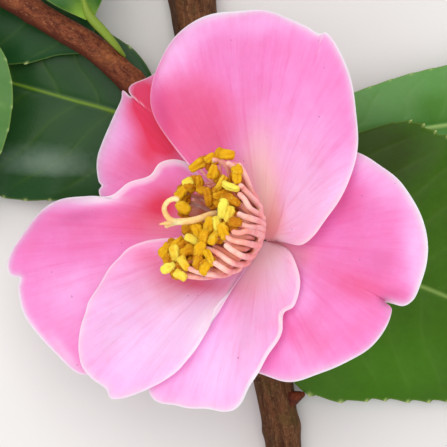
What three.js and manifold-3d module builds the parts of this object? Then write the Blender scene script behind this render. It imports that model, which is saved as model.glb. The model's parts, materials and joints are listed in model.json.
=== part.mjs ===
// A cut flowering camellia sprig lying on its woody stem, with one open single bloom of six petals.
// Units are millimetres. +Z points up from the surface it lies on and the thick cut end faces +Y.
// The bloom is laid out in polar form round its own leaning axis: an angle and a radius in the
// plane of the bloom, and a height along the axis that every petal takes from one shared bowl.
import * as THREE from 'three';
import Module from 'manifold-3d';

const wasm = await Module();
wasm.setup();

const point = (x, y, z) => new THREE.Vector3(x, y, z);
const mix = (a, b, t) => a + (b - a) * t;
const radians = (degrees) => degrees * Math.PI / 180;

// Fit of the pieces.
const JOINT_GAP = 0.3;

// Bloom: where its centre stands, how its axis leans, and the bowl its petals follow.
const BLOOM_BASE = point(7.31, -3.05, 29);
const BLOOM_AXIS = point(-0.44, 0.2, 0.875).normalize();
const BLOOM_ACROSS = point(1, 0, 0).addScaledVector(BLOOM_AXIS, -BLOOM_AXIS.x).normalize();
const BLOOM_UP = new THREE.Vector3().crossVectors(BLOOM_AXIS, BLOOM_ACROSS);
const BOWL_RISE = 13;
const BOWL_REACH = 16;
const BOWL_POWER = 1.4;
const LAYER_STEP = 1.5;
const CLAW_RADIUS = 3.7;
const CLAW_HALF_ANGLE = 36;
const SEPAL_HALF_ANGLE = 33.5;
const PETAL_THICKNESS = 0.6;

// Receptacle and stalk.
const RECEPTACLE_RADIUS = 3.1;
const RECEPTACLE_TOP = 3.3;

// Stamen cup and pistil.
const CUP_START = RECEPTACLE_TOP + JOINT_GAP;
const CUP_WALL = 0.8;
const CUP_LEAN_END = point(-0.72, 0.35, 0.6).normalize();
const CUP_FOOT = point(-1.5, 0.9, 0);
const CUP_MOUTH = point(-4.6, 1.2, 42.4);
const CUP_LENGTH = 14;
const ANTHER_RING = 10.6;
const OUTER_ANTHERS = 24;
const INNER_ANTHERS = 11;
const ANTHER_LENGTH = 2.4;
const ANTHER_WIDTH = 1.45;
const FILAMENT_RADIUS = 0.38;
const STYLE_RADIUS = 0.75;
const STYLE_FORK = point(-9.3, 0.4, 45.6);

// Stem and twig.
const STEM_THICK = 4.6;
const STEM_THIN = 3.4;
const TWIG_THICK = 2.55;
const TWIG_THIN = 2.2;

// Leaves: thickness is a share of the blade's length.
const LEAF_THICKNESS_SHARE = 1 / 92;
const PETIOLE_RADIUS = 1.15;

/** Closed solid from a list of points and triangle corners. */
function solidOf(points, triangles) {
  const flat = new Float32Array(points.length * 3);
  points.forEach((p, i) => flat.set([p.x, p.y, p.z], i * 3));
  return new wasm.Manifold(new wasm.Mesh({
    numProp: 3,
    vertProperties: flat,
    triVerts: Uint32Array.from(triangles),
  }));
}

/** Skin over a stack of rings that all have the same number of points, closed by a cap at each end. */
function loft(rings) {
  const sides = rings[0].length;
  const points = rings.flat();
  const triangles = [];
  for (let k = 0; k + 1 < rings.length; k += 1) {
    for (let i = 0; i < sides; i += 1) {
      const j = (i + 1) % sides;
      const a = k * sides + i;
      const b = k * sides + j;
      triangles.push(a, b, b + sides, a, b + sides, a + sides);
    }
  }
  [[0, true], [rings.length - 1, false]].forEach(([k, first]) => {
    const hub = points.length;
    const centre = rings[k].reduce((sum, p) => sum.add(p), point(0, 0, 0)).divideScalar(sides);
    points.push(centre);
    for (let i = 0; i < sides; i += 1) {
      const a = k * sides + i;
      const b = k * sides + (i + 1) % sides;
      triangles.push(...(first ? [hub, b, a] : [hub, a, b]));
    }
  });
  return solidOf(points, triangles);
}

/** Round limb along a smooth path. Radii are spread evenly along it. */
function limb(path, radii, sides, steps, firstNormal = null) {
  const curve = new THREE.CatmullRomCurve3(path, false, 'centripetal');
  const lengths = new THREE.CatmullRomCurve3(radii.map((r, i) => point(i, r, 0)), false, 'centripetal');
  let side = null;
  const rings = [];
  for (let k = 0; k <= steps; k += 1) {
    const t = k / steps;
    const centre = curve.getPointAt(t);
    let along = curve.getTangentAt(t);
    if (k === 0 && firstNormal) along = firstNormal.clone();
    if (side === null) {
      side = Math.abs(along.z) < 0.8 ? point(0, 0, 1) : point(1, 0, 0);
    }
    side = side.clone().addScaledVector(along, -side.dot(along)).normalize();
    const other = new THREE.Vector3().crossVectors(along, side);
    const radius = radii.length > 1 ? lengths.getPoint(t).y : radii[0];
    rings.push(Array.from({ length: sides }, (_, i) => {
      const a = 2 * Math.PI * i / sides;
      return centre.clone()
        .addScaledVector(side, radius * Math.cos(a))
        .addScaledVector(other, radius * Math.sin(a));
    }));
  }
  return loft(rings);
}

/** Thin solid of even thickness on a grid of surface points: rows run outward, columns run across. */
function sheet(grid, thickness) {
  const rows = grid.length;
  const columns = grid[0].length;
  const top = [];
  const bottom = [];
  for (let r = 0; r < rows; r += 1) {
    for (let c = 0; c < columns; c += 1) {
      const across = grid[r][Math.min(c + 1, columns - 1)].clone().sub(grid[r][Math.max(c - 1, 0)]);
      const outward = grid[Math.min(r + 1, rows - 1)][c].clone().sub(grid[Math.max(r - 1, 0)][c]);
      const normal = new THREE.Vector3().crossVectors(outward, across).normalize();
      top.push(grid[r][c].clone().addScaledVector(normal, thickness / 2));
      bottom.push(grid[r][c].clone().addScaledVector(normal, -thickness / 2));
    }
  }
  const points = [...top, ...bottom];
  const under = top.length;
  const triangles = [];
  const at = (r, c) => r * columns + c;
  for (let r = 0; r + 1 < rows; r += 1) {
    for (let c = 0; c + 1 < columns; c += 1) {
      const [a, b, d, e] = [at(r, c), at(r, c + 1), at(r + 1, c + 1), at(r + 1, c)];
      triangles.push(a, e, d, a, d, b);
      triangles.push(under + a, under + d, under + e, under + a, under + b, under + d);
    }
  }
  const rim = [];
  for (let c = 0; c + 1 < columns; c += 1) rim.push([at(0, c), at(0, c + 1)]);
  for (let r = 0; r + 1 < rows; r += 1) rim.push([at(r, columns - 1), at(r + 1, columns - 1)]);
  for (let c = columns - 1; c > 0; c -= 1) rim.push([at(rows - 1, c), at(rows - 1, c - 1)]);
  for (let r = rows - 1; r > 0; r -= 1) rim.push([at(r, 0), at(r - 1, 0)]);
  rim.forEach(([a, b]) => triangles.push(a, b, under + b, a, under + b, under + a));
  const solid = solidOf(points, triangles);
  if (solid.volume() > 0) return solid;
  return solidOf(points, triangles.map((_, i) => triangles[i - (i % 3) + 2 - (i % 3)]));
}

/** Point of the bloom from its plan position and its height along the axis. */
function bloomPoint(plan, height) {
  return BLOOM_BASE.clone()
    .addScaledVector(BLOOM_ACROSS, plan.x)
    .addScaledVector(BLOOM_UP, plan.y)
    .addScaledVector(BLOOM_AXIS, height);
}

/** Height of the shared bowl at a radius. */
const bowl = (radius) => BOWL_RISE * (1 - Math.exp(-((radius / BOWL_REACH) ** BOWL_POWER)));

/** Position in the plane of the bloom. */
function plan(degrees, radius) {
  const a = radians(degrees);
  return point(Math.cos(a) * radius, Math.sin(a) * radius, 0);
}

/**
 * One petal, sepal or scale of the bloom: rays fan out from a short claw to an outline of
 * [angle, radius] points, and each layer lies one step below the one before it.
 */
function fan(shape) {
  const corners = shape.outline.map(([a, r]) => plan(a, r));
  const outline = new THREE.CatmullRomCurve3(corners, false, 'centripetal');
  const spread = shape.spread || CLAW_HALF_ANGLE;
  const grid = [];
  for (let r = 0; r <= shape.rows; r += 1) {
    const v = r / shape.rows;
    grid.push(Array.from({ length: shape.columns + 1 }, (_, c) => {
      const u = c / shape.columns;
      const claw = plan(shape.middle + mix(-spread, spread, u), CLAW_RADIUS);
      const rim = outline.getPointAt(u);
      const spot = claw.lerp(rim, v);
      const relief = shape.relief ? shape.relief(u, v) : 0;
      return bloomPoint(spot, bowl(spot.length()) - shape.layer * LAYER_STEP + relief);
    }));
  }
  return sheet(grid, shape.thickness);
}

/** Smooth bump of unit height centred on a share of the width. */
const bump = (u, centre, width) => Math.exp(-(((u - centre) / width) ** 2));

const PETALS = {
  petal_top: {
    layer: 0, middle: 56, columns: 16, rows: 8, thickness: PETAL_THICKNESS,
    outline: [
      [-24, 7.5], [-17, 11], [-8, 13.4], [2, 16], [15, 21.1], [31, 27.6], [47, 33.3], [60, 38.2],
      [62.5, 37.8], [67, 38.2], [83, 40], [99, 40.4], [108, 38.4], [116, 34.2], [122, 30], [125, 26.4],
      [127, 20], [128, 14], [124, 8],
    ],
    relief: (u, v) => v * v
      * (3 * bump(u, 0.84, 0.13) + 1.2 * bump(u, 0.5, 0.08) + 1.5 * bump(u, 0.12, 0.1)),
  },
  petal_upper_left: {
    layer: 2, middle: 136, columns: 14, rows: 8, thickness: PETAL_THICKNESS,
    outline: [
      [92, 8], [92, 20], [100, 31], [110, 35.6], [122, 36.9], [128.5, 36.8], [131, 37.4], [144, 35.6],
      [151, 34.3], [160, 31.7], [170, 27.6], [177, 20], [178, 8],
    ],
    relief: (u, v) => -v * v * 0.8 * bump(u, 0.5, 0.05),
  },
  petal_left: {
    layer: 1, middle: 174, columns: 18, rows: 8, thickness: PETAL_THICKNESS,
    outline: [
      [127, 8], [130, 18.8], [139, 22.1], [147, 22.5], [154, 25.4], [161, 27.6], [163.5, 32.4],
      [167, 38.1], [175, 44.2], [184, 48.4], [187.5, 47], [195, 46.7], [206, 43.3], [218, 39.7],
      [222, 33], [223, 22], [221, 8],
    ],
    relief: (u, v) => v * v * (1.6 * bump(u, 0.36, 0.08) - 0.8 * bump(u, 0.6, 0.1)),
  },
  petal_lower_left: {
    layer: 0, middle: 216, columns: 16, rows: 8, thickness: PETAL_THICKNESS,
    outline: [
      [177, 8], [183, 20.5], [191, 26.2], [201, 31.7], [207, 35.2], [213, 37.7], [221, 38.4],
      [227, 37.8], [230, 38.4], [235, 35.5], [244, 28.9], [250, 22.5], [251, 16.8], [249, 12.5],
      [245, 8],
    ],
    relief: (u, v) => v * v * (1.6 * bump(u, 0.1, 0.12) + 1.3 * bump(u, 0.9, 0.12)),
  },
  petal_lower: {
    layer: 1, middle: 284, columns: 16, rows: 8, thickness: PETAL_THICKNESS,
    outline: [
      [229, 8], [228, 20], [231, 29], [240, 34.2], [250, 33.4], [260, 32.6], [268.5, 32.7],
      [274, 28.9], [282, 24.4], [291, 20.6], [295, 17.2], [303, 17.3], [315, 14.2], [327, 10],
      [333, 7.6],
    ],
    relief: (u, v) => v * v * 1.5 * bump(u, 0.66, 0.1),
  },
  petal_right: {
    layer: 2, middle: 338, columns: 20, rows: 8, thickness: PETAL_THICKNESS,
    outline: [
      [264, 8], [263, 18], [268, 24], [277, 26.4], [287, 29], [302, 31.3], [314, 32.9], [323, 33.5],
      [328, 32.9], [331, 31], [332, 33.4], [336, 35.4], [343, 36.4], [352, 35.5], [0, 33.7], [9, 31.5],
      [20, 27.8], [31, 24.5], [44, 21], [52, 15], [54, 8],
    ],
    relief: (u, v) => -v * v * 1.2 * bump(u, 0.5, 0.05),
  },
};

/** Five bud scales that cup the underside of the petals. */
function sepal(index) {
  const middle = index * 72 + 20;
  return fan({
    layer: 3.1, middle, columns: 8, rows: 4, thickness: 0.8, spread: SEPAL_HALF_ANGLE,
    outline: [[middle - 31, 7], [middle - 29, 12], [middle, 17], [middle + 29, 12], [middle + 31, 7]],
  });
}

/** Centre line of the stamen cup: it leaves the receptacle along the bloom's axis and leans over. */
const cupCurve = new THREE.CubicBezierCurve3(
  bloomPoint(CUP_FOOT, CUP_START),
  bloomPoint(CUP_FOOT, CUP_START + 4),
  CUP_MOUTH.clone().addScaledVector(CUP_LEAN_END, -5),
  CUP_MOUTH,
);

/** Point beside the cup's centre line, at a share of its length, a radius and an angle. */
function cupPoint(share, radius, angle) {
  const t = Math.min(share, 1);
  const along = cupCurve.getTangentAt(t);
  const side = point(-0.43, -0.9, 0).addScaledVector(along, point(0.43, 0.9, 0).dot(along)).normalize();
  const other = new THREE.Vector3().crossVectors(along, side);
  return cupCurve.getPointAt(t)
    .addScaledVector(along, Math.max(share - 1, 0) * CUP_LENGTH)
    .addScaledVector(side, radius * Math.cos(angle))
    .addScaledVector(other, radius * Math.sin(angle));
}

/** Outer radius of the cup wall at a share of its length: it opens like a goblet. */
const cupRadius = (share) => 2.1 + 7.6 * Math.sqrt(1 - (1 - Math.min(share, 1)) ** 2);

/** One filament that leaves the cup wall and carries an anther. */
function stamen(index, angle, reach, height) {
  const root = cupPoint(0.44, cupRadius(0.44) - CUP_WALL / 2, angle);
  const bend = cupPoint(0.74, mix(cupRadius(0.5), reach, 0.5), angle);
  const tip = cupPoint(height, reach, angle);
  const anther = wasm.Manifold.sphere(1, 8)
    .scale([ANTHER_WIDTH / 2, ANTHER_WIDTH / 2, ANTHER_LENGTH / 2])
    .rotate([70 * Math.sin(index * 1.9), 60 * Math.cos(index * 2.7), 0])
    .translate([tip.x, tip.y, tip.z]);
  return [limb([root, bend, tip], [FILAMENT_RADIUS], 4, 3), anther];
}

/** The stamens: a cup of joined filaments that part near its rim, each with an anther. */
function stamens() {
  const sides = 24;
  const wall = [0.005, 0.07, 0.17, 0.32, 0.5];
  const ring = (share, radius) => Array.from({ length: sides }, (_, i) => {
    return cupPoint(share, radius, 2 * Math.PI * i / sides);
  });
  const outside = wall.map((share) => ring(share, cupRadius(share)));
  const inside = wall.slice(1).reverse().map((share) => ring(share, cupRadius(share) - CUP_WALL));
  const pieces = [loft([...outside, ...inside])];
  for (let i = 0; i < OUTER_ANTHERS; i += 1) {
    const angle = radians(mix(-58, 238, i / (OUTER_ANTHERS - 1)));
    const reach = ANTHER_RING * (0.94 + 0.1 * Math.sin(i * 2.4));
    pieces.push(...stamen(i, angle, reach, 0.98 + 0.12 * Math.sin(i * 3.7)));
  }
  for (let i = 0; i < INNER_ANTHERS; i += 1) {
    const angle = radians(mix(-25, 205, i / (INNER_ANTHERS - 1)));
    const reach = ANTHER_RING * (0.68 + 0.06 * Math.sin(i * 2.1));
    pieces.push(...stamen(i + 7, angle, reach, 0.9 + 0.1 * Math.cos(i * 2.9)));
  }
  return wasm.Manifold.union(pieces);
}

/** The pistil: a style that leans out of the cup and ends in three curled arms. */
function pistil() {
  const foot = cupPoint(0.07 + (JOINT_GAP + 0.25) / CUP_LENGTH, 0, 0);
  const style = [foot, cupPoint(0.55, 0.6, 0), STYLE_FORK];
  const pieces = [limb(style, [STYLE_RADIUS * 1.5, STYLE_RADIUS, STYLE_RADIUS], 8, 6)];
  const back = STYLE_FORK.clone().addScaledVector(CUP_LEAN_END, -0.8);
  [
    [point(-1.4, 1.9, 1.3), point(-0.8, 3.4, 1.9), point(0.7, 4.2, 1.8)],
    [point(-1.2, 0, 0.5), point(-2, -0.2, 0.9), point(-2.6, -0.6, 1)],
    [point(-0.6, -0.9, 1.4), point(-0.9, -1.9, 2.6), point(-0.2, -2.6, 3.6)],
  ].forEach((arm) => {
    pieces.push(limb([back, ...arm.map((p) => p.add(STYLE_FORK))], [0.6, 0.52, 0.42], 6, 6));
  });
  return wasm.Manifold.union(pieces);
}

// Woody parts.
const STEM_PATH = [
  point(-8.6, 66, 4.6), point(-8.2, 60, 4.6), point(-6.1, 43.3, 4.6), point(-4.6, 34, 4.5),
  point(-0.6, 17, 4.3), point(3.8, -3, 4.1), point(7.6, -20, 3.9), point(10.5, -35.5, 3.9),
  point(11.9, -43, 3.6), point(12.6, -56, 3.5), point(14.2, -68, 3.4),
];
const STEM_RADII = [STEM_THICK, STEM_THICK, 4.3, 4.1, 3.9, 3.85, STEM_THIN, STEM_THIN];
const TWIG_PATH = [
  point(0.5, 12, 6.5), point(-8, 18.8, 9.8), point(-17.5, 27.3, 12), point(-24.9, 33.9, 13.4),
  point(-31.7, 38, 14.3), point(-41.3, 43.6, 14.8), point(-52, 48.6, 14.4), point(-64, 53, 13),
];
const TWIG_RADII = [TWIG_THICK, TWIG_THICK, 2.4, TWIG_THIN];
const STALK_PATH = [
  point(4.4, -5, 6), point(7.6, -6.2, 13), bloomPoint(point(0, 0, 0), -9), bloomPoint(point(0, 0, 0), -4),
  bloomPoint(point(0, 0, 0), RECEPTACLE_TOP),
];
const STALK_RADII = [2.4, 2.3, 2.6, 3.6, RECEPTACLE_RADIUS, RECEPTACLE_RADIUS];

const grown = (path, radii, sides, steps) => limb(path, radii.map((r) => r + JOINT_GAP), sides, steps);
const stemClearance = grown(STEM_PATH, STEM_RADII, 18, 22);
const twigClearance = grown(TWIG_PATH, TWIG_RADII, 12, 14);

/** Keeps the largest of the bodies a cut leaves behind. */
function largest(solid) {
  return solid.decompose().sort((a, b) => b.volume() - a.volume())[0];
}

/**
 * One leaf: a blade spread to both sides of a bent midrib, with its petiole joined on.
 * Half widths are given at even stations from the base to the tip, to the left and the right of the
 * way the leaf points. The rises lift or drop each margin from the midrib.
 */
function leaf(shape) {
  const midrib = new THREE.CatmullRomCurve3(shape.midrib, false, 'centripetal');
  const widths = (values) => {
    const stations = values.map((w, i) => point(i, w, 0));
    return new THREE.CatmullRomCurve3(stations, false, 'centripetal');
  };
  const left = widths(shape.left);
  const right = widths(shape.right);
  const length = midrib.getLength();
  const grid = [];
  for (let r = 0; r <= shape.rows; r += 1) {
    const s = r / shape.rows;
    const along = midrib.getTangentAt(s);
    const side = new THREE.Vector3().crossVectors(point(0, 0, 1), along).normalize();
    const up = new THREE.Vector3().crossVectors(along, side);
    grid.push(Array.from({ length: 7 }, (_, c) => {
      const t = (c - 3) / 3;
      const half = Math.max(t > 0 ? left.getPoint(s).y : right.getPoint(s).y, 0.35);
      const rise = (t > 0 ? shape.riseLeft : shape.riseRight) * t * t * Math.sin(Math.PI * s);
      return midrib.getPointAt(s).addScaledVector(side, t * half).addScaledVector(up, rise);
    }));
  }
  const blade = sheet(grid, length * LEAF_THICKNESS_SHARE);
  const reach = midrib.getPointAt(0.1);
  const stalk = [...shape.petiole, midrib.getPointAt(0.02), reach];
  const petiole = limb(stalk, [PETIOLE_RADIUS, PETIOLE_RADIUS, 0.7], 6, 5);
  let solid = wasm.Manifold.union([blade, petiole]);
  shape.clear.forEach((cutter) => {
    solid = largest(solid.subtract(cutter));
  });
  return solid;
}

const LEAVES = {
  leaf_left: {
    midrib: [
      point(-10.5, 18.6, 6.6), point(-22.1, 22.3, 6.6), point(-32.4, 25.2, 6.2), point(-42.1, 28, 5.4),
      point(-58, 31, 3.4), point(-75, 31.5, 0.9),
    ],
    petiole: [point(-2, 15.4, 4.6), point(-6.6, 17, 5.6)],
    left: [1, 16.8, 20.2, 22.4, 20.5, 14.5, 6.5, 0.3],
    right: [1, 11.6, 15, 15.8, 14, 9.8, 4, 0.3],
    riseLeft: -1.6, riseRight: 0.6, rows: 12, clear: [stemClearance, twigClearance],
  },
  leaf_behind_twig: {
    midrib: [
      point(-25.5, 34.2, 9.4), point(-31, 39, 9), point(-40, 43.8, 8.3), point(-52, 49, 6.6),
      point(-68, 54, 3.2),
    ],
    petiole: [point(-20, 29.6, 10.6), point(-22.5, 31.8, 9.8)],
    left: [1, 8.5, 12.6, 12.4, 9.2, 4.4, 0.3],
    right: [1, 6.5, 9.6, 9.8, 7.6, 3.6, 0.3],
    riseLeft: -0.6, riseRight: -0.6, rows: 10, clear: [twigClearance],
  },
  leaf_bright: {
    midrib: [
      point(-25.6, 39.4, 17.2), point(-27.3, 44, 18), point(-31, 54, 17.6), point(-36, 65, 15),
      point(-42, 76, 11),
    ],
    petiole: [point(-19.7, 32.2, 13.2), point(-21.2, 33.9, 15.4), point(-23.6, 36.4, 16.6)],
    left: [0.9, 6.4, 8.8, 9.4, 8, 5.4, 2.8, 0.3],
    right: [0.9, 6.4, 8.8, 9.2, 8, 5.4, 2.8, 0.3],
    riseLeft: 1, riseRight: 1, rows: 10, clear: [twigClearance],
  },
  leaf_edge: {
    midrib: [
      point(-51.5, 42, 19.2), point(-52, 35, 19.8), point(-52, 24, 18.8), point(-52, 11, 15.5),
      point(-51, -2, 11),
    ],
    petiole: [point(-50, 47.8, 14.6), point(-50.8, 45, 18)],
    left: [0.9, 9, 11.7, 11.2, 8.6, 4, 0.3],
    right: [0.9, 7.5, 10.5, 10.5, 8, 4, 0.3],
    riseLeft: 1, riseRight: 1, rows: 10, clear: [twigClearance],
  },
  leaf_right: {
    midrib: [
      point(6.9, 11, 7.8), point(13, 4.6, 8.2), point(21.1, -2.4, 8), point(31, -8.8, 7.6),
      point(42, -13.6, 6.6), point(56, -19.5, 5), point(73, -29, 2.8), point(88, -39, 0.9),
    ],
    petiole: [point(0.8, 14.4, 5.6), point(4.2, 13, 6.8)],
    left: [1.2, 25, 29.8, 29.5, 26, 19, 10, 0.4],
    right: [1.2, 8, 28.8, 25.4, 19.8, 13.6, 7, 0.4],
    riseLeft: 1.6, riseRight: -2.6, rows: 14, clear: [stemClearance],
  },
  leaf_right_rear: {
    midrib: [
      point(6.5, 20.6, 3.6), point(20, 17.6, 3.8), point(40, 19, 3.6), point(61, 22.5, 2.6),
      point(79, 24, 0.9),
    ],
    petiole: [point(-1.6, 22.6, 3.6), point(2.6, 21.8, 3.6)],
    left: [1, 6, 9.6, 11.6, 11.2, 6.6, 0.3],
    right: [1, 7, 11, 12.5, 10.6, 6, 0.3],
    riseLeft: 0.4, riseRight: -0.8, rows: 12, clear: [stemClearance],
  },
};

/** Small blunt bud at the side of the stem. */
function axillaryBud() {
  const bud = limb(
    [point(11.8, -36.6, 4.4), point(14.2, -35.6, 5.6), point(16, -34.8, 6.4)], [1.4, 1.5, 1.2, 0.5], 8, 5,
  );
  return largest(bud.subtract(stemClearance));
}

const FINISHES = {
  petal: { color: 0xf3a6cc, roughness: 0.62 },
  leaf: { color: 0x2f5e34, roughness: 0.38 },
  bark: { color: 0x8a7a5c, roughness: 0.85 },
  twig: { color: 0x8a5540, roughness: 0.7 },
  stamen: { color: 0xe9b04a, roughness: 0.6 },
  pistil: { color: 0xe6dd9a, roughness: 0.5 },
  scale: { color: 0x9aa860, roughness: 0.6 },
};

const group = new THREE.Group();
group.name = 'camellia_sprig';

/** Adds one named mesh made from a closed solid. */
function add(name, solid, finish) {
  const { vertProperties, triVerts, numProp } = solid.getMesh();
  const positions = new Float32Array(vertProperties.length / numProp * 3);
  for (let i = 0; i < positions.length / 3; i += 1) {
    positions.set(vertProperties.subarray(i * numProp, i * numProp + 3), i * 3);
  }
  const geometry = new THREE.BufferGeometry();
  geometry.setAttribute('position', new THREE.BufferAttribute(positions, 3));
  geometry.setIndex(Array.from(triVerts));
  geometry.computeVertexNormals();
  const material = new THREE.MeshStandardMaterial({ ...FINISHES[finish], metalness: 0 });
  const mesh = new THREE.Mesh(geometry, material);
  mesh.name = name;
  group.add(mesh);
}

const stem = limb(STEM_PATH, STEM_RADII, 18, 22, point(0, -1, 0));
const twig = largest(limb(TWIG_PATH, TWIG_RADII, 12, 14).subtract(stemClearance));
const stalk = largest(limb(STALK_PATH, STALK_RADII, 16, 9).subtract(stemClearance));

add('main_stem', stem, 'bark');
add('flowering_twig', twig, 'twig');
add('bloom_stalk', stalk, 'scale');
add('axillary_bud', axillaryBud(), 'twig');
for (let i = 0; i < 5; i += 1) add(`sepal_${i + 1}`, sepal(i), 'scale');
Object.entries(PETALS).forEach(([name, shape]) => add(name, fan(shape), 'petal'));
add('stamens', stamens(), 'stamen');
add('pistil', pistil(), 'pistil');
Object.entries(LEAVES).forEach(([name, shape]) => add(name, leaf(shape), 'leaf'));

// Seat the sprig on the ground, centred on the origin.
const extent = new THREE.Box3().setFromObject(group);
const centre = extent.getCenter(point(0, 0, 0));
group.children.forEach((mesh) => mesh.geometry.translate(-centre.x, -centre.y, -extent.min.z));

export default group;
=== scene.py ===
"""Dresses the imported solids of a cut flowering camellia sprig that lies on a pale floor.

The sprig's own frame is in millimetres, with +Z up, the camera straight above and the cut end of the
stem towards +Y. Every surface is worked out there and moved into the row's frame by one shift.
"""
import json
import logging
import math
from abc import ABC, abstractmethod
from dataclasses import dataclass, field
from enum import Enum
from typing import Callable, Sequence

import bpy
import numpy as np
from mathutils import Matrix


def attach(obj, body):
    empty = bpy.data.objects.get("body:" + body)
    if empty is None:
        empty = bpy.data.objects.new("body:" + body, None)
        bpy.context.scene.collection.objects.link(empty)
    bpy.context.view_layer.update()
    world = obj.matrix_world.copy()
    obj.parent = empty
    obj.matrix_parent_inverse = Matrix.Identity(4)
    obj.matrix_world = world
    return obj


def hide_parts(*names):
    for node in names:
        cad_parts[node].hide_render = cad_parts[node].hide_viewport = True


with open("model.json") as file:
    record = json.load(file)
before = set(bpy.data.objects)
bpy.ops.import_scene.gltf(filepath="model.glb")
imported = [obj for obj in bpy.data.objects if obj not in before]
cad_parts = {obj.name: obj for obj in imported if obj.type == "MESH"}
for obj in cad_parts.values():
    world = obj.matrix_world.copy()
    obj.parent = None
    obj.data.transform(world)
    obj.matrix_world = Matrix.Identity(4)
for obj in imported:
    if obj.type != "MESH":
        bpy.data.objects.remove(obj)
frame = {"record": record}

Array = np.ndarray
Colour = tuple[float, float, float]
Vec = tuple[float, float, float]
Pair = tuple[float, float]
Marks = dict[str, Array]
LOG = logging.getLogger("sprig")

MM = 0.001
BODY = "root"
CUT_END = "cut_end"

# The camera is straight above, at a distance that gives the photograph's perspective. Places in the view
# are given in millimetres from its middle, as they would lie at the reference height.
CAMERA_HEIGHT = 334.0
REFERENCE_HEIGHT = 34.0
CAMERA_LENS = 132.8
SENSOR_WIDTH = 36.0


def unit(vectors: Array) -> Array:
    """Scales vectors to length one."""
    return vectors / np.maximum(np.linalg.norm(vectors, axis=-1, keepdims=True), 1e-12)


def bump(offset: Array, width: float, power: float = 2.0) -> Array:
    """Smooth bump of unit height: e to the minus offset over width, to a power."""
    return np.exp(-((offset / width) ** power))


def smoothstep(x: Array, low: float, high: float) -> Array:
    """Zero at low, one at high, and a smooth rise between."""
    t = np.clip((x - low) / (high - low), 0.0, 1.0)
    return t * t * (3.0 - 2.0 * t)


def polar(degrees: Array, radius: Array) -> Array:
    """Places in a plan from angles in degrees and radii."""
    turn = np.radians(degrees)
    return np.stack([radius * np.cos(turn), radius * np.sin(turn)], -1)


def ripple(x: Array, y: Array, seed: int, waves: int = 7) -> Array:
    """Gentle repeatable unevenness: a mean of sine waves in seeded directions.

    Args:
        x: first coordinate, in units where one is about the size of a swell.
        y: second coordinate, in the same units.
        seed: which pattern.
        waves: how many waves are summed.

    Returns:
        Values of roughly minus one to one, in the shape of x and y together.
    """
    rng = np.random.default_rng(seed)
    total = 0.0
    for _ in range(waves):
        turn, pitch, phase = rng.uniform(0.0, math.tau), rng.uniform(0.6, 1.7), rng.uniform(0.0, 6.28)
        total = total + np.sin(math.tau * pitch * (x * math.cos(turn) + y * math.sin(turn)) + phase)
    return total / math.sqrt(waves)


def profile(values: Sequence[float], share: Array) -> Array:
    """Smooth value along evenly spaced stations, by a cubic through the four nearest ones.

    Args:
        values: the values at the stations.
        share: places from 0 at the first station to 1 at the last.

    Returns:
        The values at those places.
    """
    v = np.asarray(values, float)
    padded = np.concatenate([[2 * v[0] - v[1]], v, [2 * v[-1] - v[-2]]])
    x = np.clip(share, 0.0, 1.0) * (len(v) - 1)
    i = np.minimum(x.astype(int), len(v) - 2)
    t = x - i
    a, b, c, d = (padded[i + k] for k in range(4))
    return b + 0.5 * t * (c - a + t * (2 * a - 5 * b + 4 * c - d + t * (3 * (b - c) + d - a)))


def each(kind: type, *rows: tuple) -> tuple:
    """One object of a kind from each row of values."""
    return tuple(kind(*row) for row in rows)


class Spline:
    """Smooth curve through points, walked at even steps of length."""

    STEPS = 160
    NEAR = 0.004

    def __init__(self, points: Sequence[Sequence[float]]) -> None:
        """Fits a centripetal cubic through the points.

        Args:
            points: positions the curve passes through, in order.
        """
        p = np.asarray(points, float)
        p = np.concatenate([[2 * p[0] - p[1]], p, [2 * p[-1] - p[-2]]])
        u = np.linspace(0.0, 1.0, self.STEPS)[:, None]
        pieces = []
        for a, b, c, d in zip(p, p[1:], p[2:], p[3:]):
            r, s, t = (math.sqrt(np.linalg.norm(q)) for q in (b - a, c - b, d - c))
            start = ((b - a) / r - (c - a) / (r + s) + (c - b) / s) * s
            end = ((c - b) / s - (d - b) / (s + t) + (d - c) / t) * s
            pieces.append((2 * u**3 - 3 * u**2 + 1) * b + (u**3 - 2 * u**2 + u) * start
                          + (3 * u**2 - 2 * u**3) * c + (u**3 - u**2) * end)
        self.trace = np.concatenate(pieces)
        steps = np.linalg.norm(np.diff(self.trace, axis=0), axis=1)
        self.run = np.concatenate([[0.0], np.cumsum(steps)])
        self.length = float(self.run[-1])

    def at(self, share: Array) -> Array:
        """Positions at shares of the length, from 0 to 1."""
        walk = np.asarray(share, float) * self.length
        return np.stack([np.interp(walk, self.run, axis) for axis in self.trace.T], axis=-1)

    def along(self, share: Array) -> Array:
        """Unit directions at shares of the length."""
        s = np.asarray(share, float)
        return unit(self.at(np.minimum(s + self.NEAR, 1.0)) - self.at(np.maximum(s - self.NEAR, 0.0)))


@dataclass
class Shape:
    """Mesh data in millimetres in the sprig's own frame.

    Attributes:
        points: positions, one row each.
        faces: corner numbers, four a row; a triangle repeats its last corner.
        uv: one pair for each point.
        marks: named values, one for each point, that finishes read.
    """

    points: Array
    faces: Array
    uv: Array
    marks: Marks = field(default_factory=dict)

    def outward(self) -> "Shape":
        """Turns the faces, if need be, so that the volume they enclose is positive.

        Returns:
            This shape.
        """
        a, b, c, d = (self.points[self.faces[:, k]] for k in range(4))
        if np.einsum("ij,ij->", a, np.cross(b, c)) + np.einsum("ij,ij->", a, np.cross(c, d)) < 0.0:
            self.faces = self.faces[:, [1, 0, 3, 2]]
        return self

    def marked(self, **values: float) -> "Shape":
        """The same shape with one value all over for each named mark."""
        self.marks = {name: np.full(len(self.points), value) for name, value in values.items()}
        return self


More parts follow.
